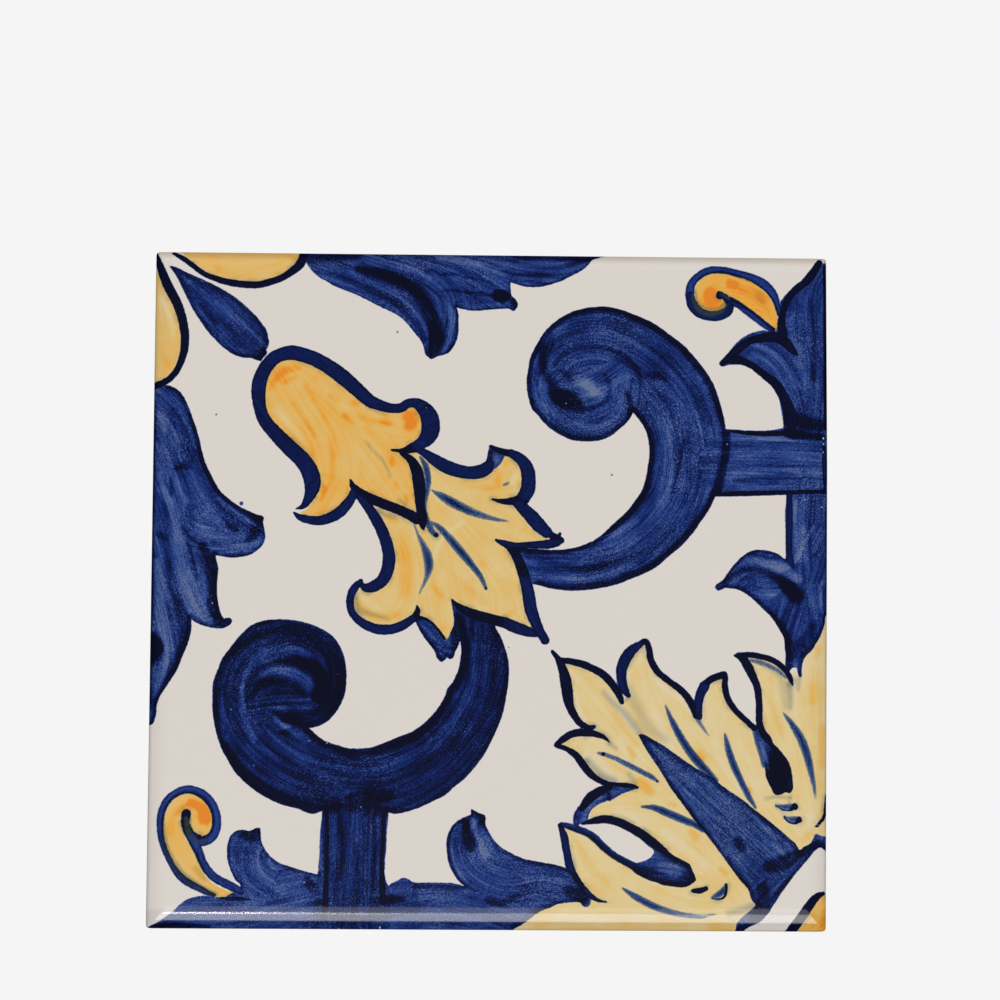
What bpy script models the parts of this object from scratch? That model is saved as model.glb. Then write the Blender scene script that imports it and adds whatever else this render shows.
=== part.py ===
"""A glazed wall tile, lying on its back with the glazed face up.

The fired tile is one solid: a square slab whose face rolls over into the four sides, with
small rounded corners and a fine break along the edges of the back. The origin is the centre
of the back, +Z points out of the face and +Y towards the head of the painted pattern.
"""

import bmesh
import bpy
from mathutils import Matrix

# Driving dimensions, in metres
SIDE = 0.140
THICKNESS = 0.008
FACE_ROUNDING = 0.003
CORNER_ROUNDING = 0.0008
BACK_EDGE_BREAK = 0.0005
ROUNDING_SEGMENTS = 10

GLAZE_WHITE = (0.70, 0.65, 0.59, 1.0)
GLAZE_ROUGHNESS = 0.12


def clear_scene():
    """Removes whatever the scene starts with."""
    for obj in list(bpy.data.objects):
        bpy.data.objects.remove(obj, do_unlink=True)


def glaze_material():
    """The tin-white glaze under the painting."""
    material = bpy.data.materials.new("painted_glaze")
    material.use_nodes = True
    shader = material.node_tree.nodes["Principled BSDF"]
    shader.inputs["Base Color"].default_value = GLAZE_WHITE
    shader.inputs["Roughness"].default_value = GLAZE_ROUGHNESS
    shader.inputs["Metallic"].default_value = 0.0
    return material


def rounding_of(edge):
    """The radius that an edge of the plain slab is rounded to, by where the edge lies."""
    heights = [vertex.co.z for vertex in edge.verts]
    if min(heights) > THICKNESS / 2:
        return FACE_ROUNDING
    if max(heights) < THICKNESS / 2:
        return BACK_EDGE_BREAK
    return CORNER_ROUNDING


def slab_mesh():
    """A plain slab standing on the origin, with each edge's share of the widest rounding."""
    shape = bmesh.new()
    bmesh.ops.create_cube(shape, size=1.0)
    bmesh.ops.transform(
        shape,
        matrix=Matrix.Translation((0, 0, THICKNESS / 2)) @ Matrix.Diagonal((SIDE, SIDE, THICKNESS, 1)),
        verts=shape.verts,
    )
    weight = shape.edges.layers.float.new("bevel_weight_edge")
    for edge in shape.edges:
        edge[weight] = rounding_of(edge) / FACE_ROUNDING
    mesh = bpy.data.meshes.new("tile")
    shape.to_mesh(mesh)
    shape.free()
    return mesh


def make_tile(collection):
    """The one fired piece."""
    tile = bpy.data.objects.new("tile", slab_mesh())
    tile.data.materials.append(glaze_material())
    tile.data.shade_smooth()
    collection.objects.link(tile)

    rounding = tile.modifiers.new("edge_rounding", "BEVEL")
    rounding.limit_method = "WEIGHT"
    rounding.width = FACE_ROUNDING
    rounding.segments = ROUNDING_SEGMENTS
    rounding.harden_normals = True
    return tile


def main():
    clear_scene()
    collection = bpy.data.collections.new("azulejo_tile")
    bpy.context.scene.collection.children.link(collection)
    make_tile(collection)


main()
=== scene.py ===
"""The looks of the azulejo tile: its painted glaze, the studio floor, the light and the camera.

The painting is drawn in tile millimetres, from the centre of the face, +x to the right and
+y to the head of the pattern. Each closed shape and each brush stroke is a smooth curve
through the few points listed here. Their signed distances are kept on the face's points, and
the glaze material turns them into crisp pigment edges, brush streaks and pooled colour.
In the tables of strokes each line is one stroke, and a backslash carries a long one on.
"""

import math

import bpy
import numpy as np
from mathutils import Matrix, Vector
from mathutils.geometry import delaunay_2d_cdt


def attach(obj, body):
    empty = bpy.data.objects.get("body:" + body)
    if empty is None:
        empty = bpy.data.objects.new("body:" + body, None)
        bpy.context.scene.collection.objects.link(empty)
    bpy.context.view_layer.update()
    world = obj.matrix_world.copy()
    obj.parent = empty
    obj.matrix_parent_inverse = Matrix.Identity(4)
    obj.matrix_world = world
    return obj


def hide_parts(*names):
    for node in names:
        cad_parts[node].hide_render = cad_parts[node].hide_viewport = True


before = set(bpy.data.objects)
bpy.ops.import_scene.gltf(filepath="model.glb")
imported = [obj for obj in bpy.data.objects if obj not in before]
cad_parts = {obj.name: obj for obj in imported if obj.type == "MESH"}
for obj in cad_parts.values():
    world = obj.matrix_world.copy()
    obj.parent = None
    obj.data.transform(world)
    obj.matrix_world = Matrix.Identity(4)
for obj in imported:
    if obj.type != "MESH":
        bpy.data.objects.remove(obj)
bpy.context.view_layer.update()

# The tile in millimetres: the size of the CAD model, and its edges as photographed
HALF_SIDE = 70.0
THICKNESS = 8.0
ROLL_RADIUS = 3.0
ROLL_WIDTH = 4.6
LEFT_SIDE = 69.85
RIGHT_SIDE = 69.78
RIGHT_SLANT = 0.0085
TOP_SIDE = 69.94
BACK_BREAK = 0.5
CORNER_POWER = 16.0
MM = 0.001

# Closed blue shapes. Points are x,y in mm along a smooth outline, and a bar marks a sharp corner.
BLUE_SHAPES = {
    "pointed_leaf": """-67.2,66.7 -65.4,66.2 -63.2,65.1 -61,64.2 -58.8,63.2 -56.6,62.1 -54.7,61
        -52.9,59.8 -51,58.2 -49.1,56.4 -47.7,54.7 -46.7,53.2 -46.3,51.7 -46.1,50.4 -46.7,49.1 |
        -46.5,48.4 -47.1,47.6 -47.7,46.7 | -48.8,47 -49.5,47.3 -51,47.4 -52.8,47.8 -54.3,48.6 -55.8,49.7
        -57.3,51.2 -58.8,52.8 -60.3,54.9 -61.7,57.1 -63,59.5 -64.3,62.1 -65.4,64.3 -66.6,66 -67.2,66.7 |""",
    "top_leaves": """-39.9,70.5 -39,68.6 -38.2,66.9 -36.6,65 -34,63.4 -32.8,62.7 -30,61.6 -27.6,60.6
        -25,59.3 -22.8,58.2 -20.6,57.2 -18.7,56 -17.2,54.5 -15.8,52.7 -14.6,51.2 -14.1,49.9 -13.8,48.6
        -13.3,48 -12.4,47.5 -11.5,47.9 -10.9,48.2 -9.8,48.4 -8.7,49.1 -7.8,50.3 -7.2,51.7 -6.9,53.4
        -6.9,55.1 -6.9,56.6 -7.2,58 -7.4,58.4 | -5.8,58 -3.9,57.7 -1.3,57.9 2.1,58.2 3.6,58.2 4.5,57.7
        5,58.2 5.4,59.1 5,60.1 4.1,61 3.9,62.3 3.8,63.8 | 5,63.4 6.9,62.9 8.7,62.8 10.6,63 12.4,63.5
        14.3,64.1 16.1,65.1 18,66 19.3,66.9 20.2,67.9 21,68.9 22.4,69.4 25,70.5 |""",
    "left_leaves": """-70.5,42 -68,41.7 -66.6,41.4 -65.4,40.9 -64.5,40.3 -63.6,39.1 -62.7,37.3 -61.6,34.5
        -60.8,32.2 -60.1,29.8 -59.6,27.6 -59,25.6 -58,23.5 -57.1,21.7 -55.8,19.6 -54.3,18.2 -52.9,17.1
        -51.4,16.2 -49.5,15.3 -48,14.7 -47.1,14.5 -46.7,14.1 | -46.9,13.2 -46.6,11.7 -46.4,10.2 -46.7,8.9
        -47.7,7.6 -49.1,6.6 -51,6 -53.2,5.8 -55.1,6 -56.7,6.3 | -56.3,5 -56,3.5 -56.1,1.7 -56.2,-0.2
        -56.1,-2.4 -55.8,-4.1 -55.4,-5.6 -54.7,-6.8 -54.1,-6.7 -53.5,-6.6 -53,-7.1 -53.3,-7.9 -54,-8.4
        -55.4,-8.85 -56.9,-8.7 -58.8,-8.3 -60.3,-7.7 -61.4,-6.9 | -61.3,-8.6 -61.6,-10.6 -62.3,-12.8
        -63.2,-15 -64.1,-17.3 -65.4,-19.5 -66.7,-21.5 -67.7,-23.2 -68.2,-24.9 -68.3,-26.3 -68.6,-27.6
        -69.1,-28.5 -70.5,-28.7 |""",
    "right_scroll": """7.3,43.6 7.6,45.4 8,47.7 8.7,49.5 9.7,51.4 11,53.4 12.4,54.9 14.3,56.4 16.5,57.6
        18.7,58.3 21,58.7 23.2,58.85 25.4,58.6 27.6,58 29.9,57.1 32.1,56.2 34.5,54.9 37.3,52.85 39.5,51.2
        41.4,49.3 43.2,47.1 44.7,45.1 46,42.9 46.9,40.6 47.7,38 48.2,35.8 48.6,33.4 48.7,30 48.2,26.5
        47.3,22.5 46.4,19.3 45.3,16.9 43.6,14.3 41.8,11.7 39.5,9.1 36.8,6.8 34.8,5 32.3,3.45 29.1,2.1
        26.1,0.9 23.2,0.2 20.2,-0.3 17.3,-0.5 14.3,-0.35 12.1,0 9.9,0.6 8.7,0.8 7,1 | 5,8.5 | 12.6,7.9
        15,8 17.3,8.4 19.5,9.1 21.7,10.2 23.6,11.7 25.4,13.5 27.8,15.7 29.7,18.1 31.2,20.4 32,22.8
        32.4,25 32.7,26.9 32.8,29.1 32.5,31.3 31.9,33.2 30.8,35 29.4,36.7 | 28.7,35.4 27.7,34.2 26.3,33
        24.7,31.7 22.8,30.9 21,30.6 18.7,30.6 16.5,30.9 14.7,31.7 12.8,32.8 11,34.3 9.5,36.1 8.5,37.2
        7.8,39.1 7.4,41.4 7.3,43.6 |""",
    "left_scroll": """-56.8,-22.4 -56.8,-20.5 -56.5,-19.3 -55.8,-17.3 -54.9,-15 -53.6,-13.2 -52.1,-11.15
        -50.4,-9.3 -48.8,-8 -46.6,-7.2 -43.6,-6.9 -40.6,-7 -37.7,-7.6 -35.4,-8.4 -33.2,-9.6 -31.7,-11
        -30.7,-12.6 -30,-14.3 -29.5,-16.9 -29.45,-19.5 -29.65,-21.7 -30.4,-23.9 -31.7,-26.1 -33.3,-27.8
        -35,-28.7 -37,-29.2 | -35.4,-30.6 -34,-31.6 -32.5,-32.2 -30.9,-32.7 -29.1,-33.2 -26.9,-33.3
        -24.6,-33.1 -22.4,-32.4 -20.2,-31.5 -18,-30.6 -15.8,-29.7 -14.3,-28.7 -12.8,-27.4 -11.3,-25.8
        -10,-23.9 -9.1,-22.1 -8.7,-20.8 -7.8,-19.8 -7.1,-18.4 -6.5,-16.9 -6.1,-15 -5.9,-13.2 -6.1,-11.2
        -7,-7 -7.6,-4 | 1,-6.5 1.1,-8.2 2.1,-10 3,-12.3 3.6,-14.3 3.9,-16.5 3.85,-18.7 3.6,-21 3.2,-23.2
        2.8,-25.4 2.1,-27.6 1.2,-29.8 0.1,-32.1 -1,-34.2 -3,-36.9 -5,-39.2 -7.2,-41 -9.1,-42.7
        -11.3,-43.8 -13.5,-44.9 -15.8,-45.8 -18,-46.4 -19.6,-46.5 -20.6,-46.2 -27,-45.4 -34.1,-46.1
        -35.8,-46.65 -37.3,-46.4 -39.1,-45.6 -41.4,-45.1 -43.6,-44.35 -45.4,-43.5 -47.3,-42.4 -49.1,-41
        -51,-39.35 -52.5,-37.5 -53.8,-35.3 -54.8,-33.5 -55.6,-31.3 -56.2,-29.1 -56.6,-26.9 -56.8,-24.7
        -56.8,-22.4 |""",
    "right_bar": """45,33.2 48.6,33.35 51.8,33.1 54.7,33.05 57.7,33.2 60.7,33.7 | 70.5,33.7 | 70.5,20.2 |
        69,20.2 61.2,19.8 56.6,19.7 52.9,19.5 49.2,19.4 45,19.2 |""",
    "bottom_bar": """-34.1,-45 -34.2,-47.5 -34.5,-50.3 -34.6,-54.7 -34.9,-59 -35,-60 | -36,-70.5 |
        -20,-70.5 | -20.5,-61.5 -21.2,-59.5 -21.2,-56.6 -21,-53.2 -20.9,-50.3 -20.65,-47.3 -20.6,-45 |""",
    "upper_right_leaves": """60.6,33 60.6,33.6 60.5,35.4 60.1,37.7 59.7,39.9 59,41.7 57.7,43.4 56.2,44.7
        54.4,46 52.5,46.7 50.6,47 48.8,46.7 47.9,46.5 47.4,46.8 47.5,47.4 48.4,48.4 49.5,49.7 50.6,51.2
        52.1,52.5 53.6,53.4 55.5,54 57.1,54.2 59.2,54 | 59.6,56.5 59.9,59.9 60.6,61 61.8,62.4 63.2,63.8
        64.7,64.9 65.9,65.8 66.7,67.1 67.5,68.4 68.3,69.1 69,68.8 69.5,68.7 70.5,68.9 | 70.5,33 |""",
    "lower_right_leaves": """61.2,20.2 61.2,19.5 60.9,16.5 60.9,13.5 61,10.6 61.1,8.3 60.9,6.1 | 59.9,7.1
        58.4,7.8 56.6,8.2 54.7,8.2 53.2,7.7 51.8,6.7 50.3,5.2 49.2,3.7 48.1,2.1 47.1,1.3 46.5,0.9
        46.4,0.2 46.9,-0.2 47.7,-0.1 48.3,0.35 | 49.9,0.2 51,0 52.9,-1 54.7,-2.4 56.2,-3.9 57.7,-5.4
        58.8,-6.9 59.7,-8.4 60.5,-9.85 60.7,-11.7 60.9,-13.6 60.8,-15.8 61.6,-17 | 62.3,-16.1 63.1,-16 |
        63.6,-17.8 64.1,-18.1 64.2,-16.5 64.5,-14.7 65.1,-13.6 65.8,-13 66.8,-11.7 67.7,-10.2 68.6,-8.4
        69.2,-6.5 69.5,-5 70.5,-4.6 | 70.5,20.2 |""",
    "left_hump": """-70.5,-70.5 | -69.4,-69.8 -67.7,-69 -65.4,-67.5 -64,-66.4 -62.7,-65.1 -61.4,-64.2
        -59.5,-63.6 -57.7,-63.4 -54,-63.8 | -50.5,-61.5 -51.7,-60.1 -52.5,-58.4 -53.2,-56.6 -53.4,-54.7
        -53.3,-52.9 -52.7,-51.2 -51.7,-50.3 -50.3,-50 -48.8,-50.2 -47.7,-49.7 -46.7,-49.5 | -46.6,-51
        -46.3,-52.7 -45.4,-54.35 -44.3,-55.6 -42.9,-56.6 -40.6,-57.4 -38.4,-58.1 -36.2,-58.7 -34,-59.2 |
        -34,-70.5 |""",
    "right_hump": """-22,-63 -20.65,-61.5 -20,-60.8 -18.7,-60.2 -17.6,-59.6 -16.5,-59.8 -15.4,-60.4
        -12.8,-60.5 -9.8,-60.5 -7.2,-60.65 -5,-61.2 | -5.8,-60.5 -6.9,-59.2 -8,-57.1 -8.5,-55.1
        -8.7,-52.9 -8.5,-51 -7.8,-49.35 -6.7,-48.1 -5.4,-47.3 -4.1,-46.8 -3.7,-46.5 | -3.7,-45.5 -3,-45.8
        -2.2,-46.3 -1.3,-46.5 -0.75,-47.2 -0.8,-48.3 -0.2,-49.9 1,-51.8 2.4,-53.2 4.7,-54.5 6.9,-55.5
        9.85,-56.1 12.8,-56.6 15,-57.1 17,-57.8 | 18.2,-59.5 19.5,-61.4 20.2,-62.5 20.8,-63.6 20.7,-64.7
        19.85,-65.35 19,-64.9 18.8,-64.35 | 16.5,-64.35 14.3,-64.7 12.4,-65.5 10.6,-66.2 8.7,-67.5
        7.3,-68.6 5.4,-69.7 4.4,-70.5 | -22,-70.5 |""",
    "centre_point": """-15.4,-7 -14.5,-8.9 -13.3,-10.7 -12.2,-12.1 -11.3,-13.4 -10.9,-14.6 -10,-15.4
        -9.2,-14.9 -8.8,-14.4 | -8.3,-14.8 -7.6,-14.5 -7.1,-13.2 -6.4,-11.7 -6,-10 | -5.5,-5 -8.1,-2.7 |
        -7.8,-4.3 -7.5,-6.15 -7.6,-8 -8.2,-9.5 -8.8,-10.8 | -9.7,-10 -10.6,-8.9 -11.7,-7.8 -12.8,-6.9
        -14.3,-6.2 |""",
    "fold": """17.5,-47.6 18.4,-45.4 20.1,-43.5 22.2,-42 24.6,-40.9 27.4,-40.8 30.2,-41.1 | 27.2,-42.2
        25.4,-43.2 23.2,-44 21.2,-45.2 20.4,-46.6 20,-48.2 18.4,-48.4 |""",
    "curl_tip": """-0.8,24.4 0.4,24.5 1.6,25.3 2.4,26.4 2.8,27.4 2.6,28.2 1.4,28.7 0.2,29.5 -0.3,29.4
        -0.5,28.4 -0.6,27.2 -1.1,25.6 |""",
    "spike": """30.5,-30.1 31.3,-29.9 33.6,-31.1 36,-32.5 38.4,-34.2 42.1,-36.7 46.2,-39 46.8,-39.7
        48.8,-41.2 51.8,-43.2 54.7,-45.5 58.4,-48.4 61.4,-51 62.7,-52.1 63.6,-53.6 | 64.35,-52.9
        65.8,-52.1 66.5,-51 66.9,-50.1 68.1,-50.5 69,-50.6 70.5,-50.4 | 70.5,-53.9 69.2,-53.6 68.1,-52.9
        66.9,-53.4 65.8,-54.7 64,-56.8 61.8,-59.5 59.9,-62.1 58.4,-64.35 56.9,-66.6 55.5,-68.1 53.2,-69.2
        51.5,-70.5 50.6,-70.5 50.6,-69.5 50.8,-68.4 52.1,-66.9 53.2,-66 54.6,-64.7 | 54,-64 53.4,-62.9
        53.2,-61.9 51,-59.2 48.8,-56.2 46.6,-53.2 44,-49.9 42.9,-48.7 41,-46.1 38.8,-43.2 36.9,-40.5
        34.7,-36.9 32.4,-33.6 31,-31.1 30.5,-30.1 |""",
    "upper_teardrop": """54.2,-29 54.9,-31.7 55.6,-33.7 56.4,-36.2 56.8,-38.8 57.7,-40.6 58.6,-42.2
        59.9,-42.1 60.8,-41.7 61.6,-41.8 62.3,-40.8 62.2,-39.2 61.9,-36.9 61,-34.8 59.2,-32.6 57.3,-30.6
        55.8,-28.8 |""",
    "lower_teardrop": """31,-50.5 32.5,-50.6 34.35,-52.1 36.2,-53.6 38.1,-54.9 39.9,-55.8 41,-56.4
        41.4,-57.3 41.9,-58.4 42.3,-59.7 41.4,-60.5 40.3,-61.1 38.1,-61.1 35.8,-60.8 34,-60.2 32.5,-59.7
        31,-59 29.5,-58 28.5,-56.6 | 31.3,-56 32.8,-55.3 33.6,-54.5 33.6,-53.6 32.4,-52.7 31,-51.4 |""",
}

# How much deeper or paler than the rest some blue shapes are
DEEPER_SHAPES = {
    "pointed_leaf": 0.09,
    "left_scroll": 0.17,
    "bottom_bar": 0.13,
    "right_scroll": 0.03,
    "top_leaves": 0.04,
    "right_bar": -0.03,
    "lower_right_leaves": 0.02,
    "upper_right_leaves": 0.03,
    "spike": -0.03,
    "left_hump": -0.02,
}

# Closed yellow shapes, with the depth of their colour
YELLOW_SHAPES = {
    "top_petal": (0.7, """-65,70.5 -63,67.8 -60,65 -56.9,63.8 -54.3,63.2 -51.4,62.8 -48.8,62.8 -46.2,63.2
        -43.6,64.2 -41.7,65.5 -40,67 -39.2,70.5 |"""),
    "left_petal": (0.66, """-70.5,66 -68.9,64.8 -67.8,62.8 -66.4,60.5 -65.4,58.5 -64.4,56 -63.8,53.5
        -63.5,51 -63.6,49 -64.2,47 -65.2,44.8 -66.8,42.9 -68.4,42.1 -70.5,41.9 |"""),
    "bell": (0.77, """-39.4,15.35 -37.9,16 -36.8,18 -36,21 -36.5,24 -39,27.4 -42.5,30.6 -46,34 -47.4,37.5
        -47.6,41 -46.5,44.6 -44,47.2 -41,48 -38,47.4 -34,45.2 -30.5,42.8 -27,39.8 -24,37.8 -21,37
        -18.5,37 -17,38 -15.2,37.6 -13.8,35.5 -13.6,33 -14.6,30.8 -16,29.2 | -15.4,24 -14.8,18 -14.4,13.5
        -18,15 -22,16.8 -25,18.3 -28.2,20 | -29.6,18 -31.4,15.6 -33.2,14.4 -36,14 -38,14.4 |"""),
    "middle": (0.63, """-15.8,29 -12.5,26.5 -9.2,24.8 -6.7,24 -4.2,23.7 -2,24.1 -0.2,25.1 1.2,26.8
        2.6,28.2 4.6,27.4 6.4,25.8 7.4,23.5 7.4,21 6.4,19 4,18.1 | 6,16.8 8.1,14.6 10,12.6 11.8,10.8
        13,10 | 9.8,9.2 6,8.8 3.4,9 | 5,6.5 6.6,3.5 7.4,0.5 7.9,-2 8.4,-5 9,-8.8 | 5.3,-7.9 2,-6.8
        -2,-5.9 -5,-4.8 -7.7,-3 | -7.3,-6 -7.8,-8.8 -9.2,-11.4 | -11.4,-8.3 -13.4,-6.7 -15.2,-5.8 |
        -17.4,-7.5 -19.5,-8.4 -22,-8.8 -24.6,-8.2 -27,-6.9 -28.5,-4.8 -28.6,-2.4 -27.8,-0.6 -26.2,-0.5
        -24,0 -22.2,1.4 -21.2,3.5 -20.9,6 -21.3,8.5 -22.2,11.1 -23.5,13.7 -25.2,16.3 | -22,16.6 -18,15
        -14.8,13 -14.2,17 -14.8,22 -16,26 |"""),
    "lower_palmette": (0.5, """14.4,-15.6 18.8,-15.9 22,-17.3 24.8,-19.6 26.4,-22 27.2,-23.6 | 28,-22
        27.2,-19.4 27,-17 27.8,-14.6 29.4,-12.4 32,-11.2 | 32.6,-13 33.2,-15.3 34.6,-17.4 36.6,-19.3
        38.7,-20.8 40.4,-22.5 41.7,-24.4 42.7,-26.6 | 43,-24 43.4,-21.5 44.4,-19.6 46,-18.4 48.1,-17.8 |
        48.2,-19.8 48.6,-22 49.7,-24 51.3,-25.9 53,-27.4 54.6,-29 | 55.3,-27 55.4,-23.5 55,-20 54,-17
        52.4,-14.4 | 55.5,-13.9 57.8,-14.6 59.7,-15.7 61.1,-17.1 62,-17.6 | 63,-16.8 64,-17.5 65,-13.5
        66.8,-11.7 68.6,-8.4 69.6,-6 70.5,-5 | 70.5,-51.5 68,-51.5 66,-53 | 54,-66 | 52,-69 51.6,-70.5 |
        4.6,-70.5 | 8,-67.8 12,-65.4 16,-64.4 20,-64 | 18,-60 16.6,-57.3 15.7,-53 15,-49.4 | 17.3,-49.4
        19.5,-50.2 21.5,-51.4 23.2,-52.9 25.3,-54.7 27.7,-56 30.2,-57.2 33,-58 | 34,-53 31,-50.3
        28.5,-48.7 26,-47.7 23.5,-47.4 20.6,-47.9 | 20.6,-46.8 20.8,-44.8 22.5,-43.7 25,-43.1 24.5,-41.2
        27,-40.6 | 24.6,-40.2 22.4,-39.4 20.6,-38.1 19.1,-36.3 17.6,-34.5 15.8,-33 14.2,-32.2 |
        17.2,-30.1 19.5,-29.8 22,-30.2 21.3,-28.5 19.8,-28.4 | 17.4,-26.4 16.3,-23.9 15.9,-21.3
        15.6,-18.7 14.8,-16.2 |"""),
    "corner": (0.79, """62.8,-70.5 | 65.1,-66.9 67,-64 68.6,-62.4 70.5,-61.9 | 70.5,-70.5 |"""),
    "right_comma": (0.84, """42.2,63 43.2,64.7 45.1,65.8 47.3,66.3 49.5,66 51.8,65.3 54,64.4 55.8,63.3
        57.3,61.9 58.4,60.3 59.2,58.4 59.6,56.2 59.8,53.8 | 59,53.9 57.7,55.2 56.2,56.5 54.4,58 52.5,59.1
        50.6,60.2 49.5,61.1 48,62 | 46.8,61.9 47.3,61.2 48.3,60.6 48.8,59.4 47.6,58.2 46.2,58 44.7,58.3
        43.2,59.2 42.3,60.8 |"""),
    "left_comma": (0.74, """-66.6,-49.9 -66.5,-47.7 -65.8,-45.5 -64.6,-43.8 -63,-42.8 -61.4,-42.5
        -59.5,-42.9 -57.8,-44 -56.7,-45.8 -56.3,-47.7 -56.4,-49.35 -57.1,-50.8 -58.4,-51.5 -59.7,-51 |
        -60.9,-49.9 -61.3,-48.4 -61.8,-47 -62.9,-47.2 -62.85,-48.4 -62.4,-50.3 -61.6,-52.1 -60.4,-53.8
        -59.6,-55.1 -59,-56.9 -58,-58.8 -56.7,-60.5 -55,-61.6 -53.2,-62.4 -51.6,-62.9 -51.8,-63.6 |
        -52.5,-63.9 -54.7,-63.7 -56.2,-63.3 -57.3,-62.5 -58.8,-61.5 -60.6,-60.8 -62.3,-59.5 -63.6,-58
        -64.9,-55.7 -66,-53.3 -66.5,-51.4 -66.6,-49.9 |"""),
}

# White left bare inside the yellow
WHITE_SHAPES = {
    "window": """20.2,-48.7 22.4,-48.5 24.7,-48.5 26.9,-49.2 29.1,-50.3 31,-51.6 32.4,-52.7 33.6,-53.6
        33.6,-54.5 32.8,-55.3 31.3,-56 29.5,-55.9 27.6,-55.2 25.8,-54 23.9,-52.3 22.8,-50.8 21.7,-49.9
        20.6,-49.2 |""",
}

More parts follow.
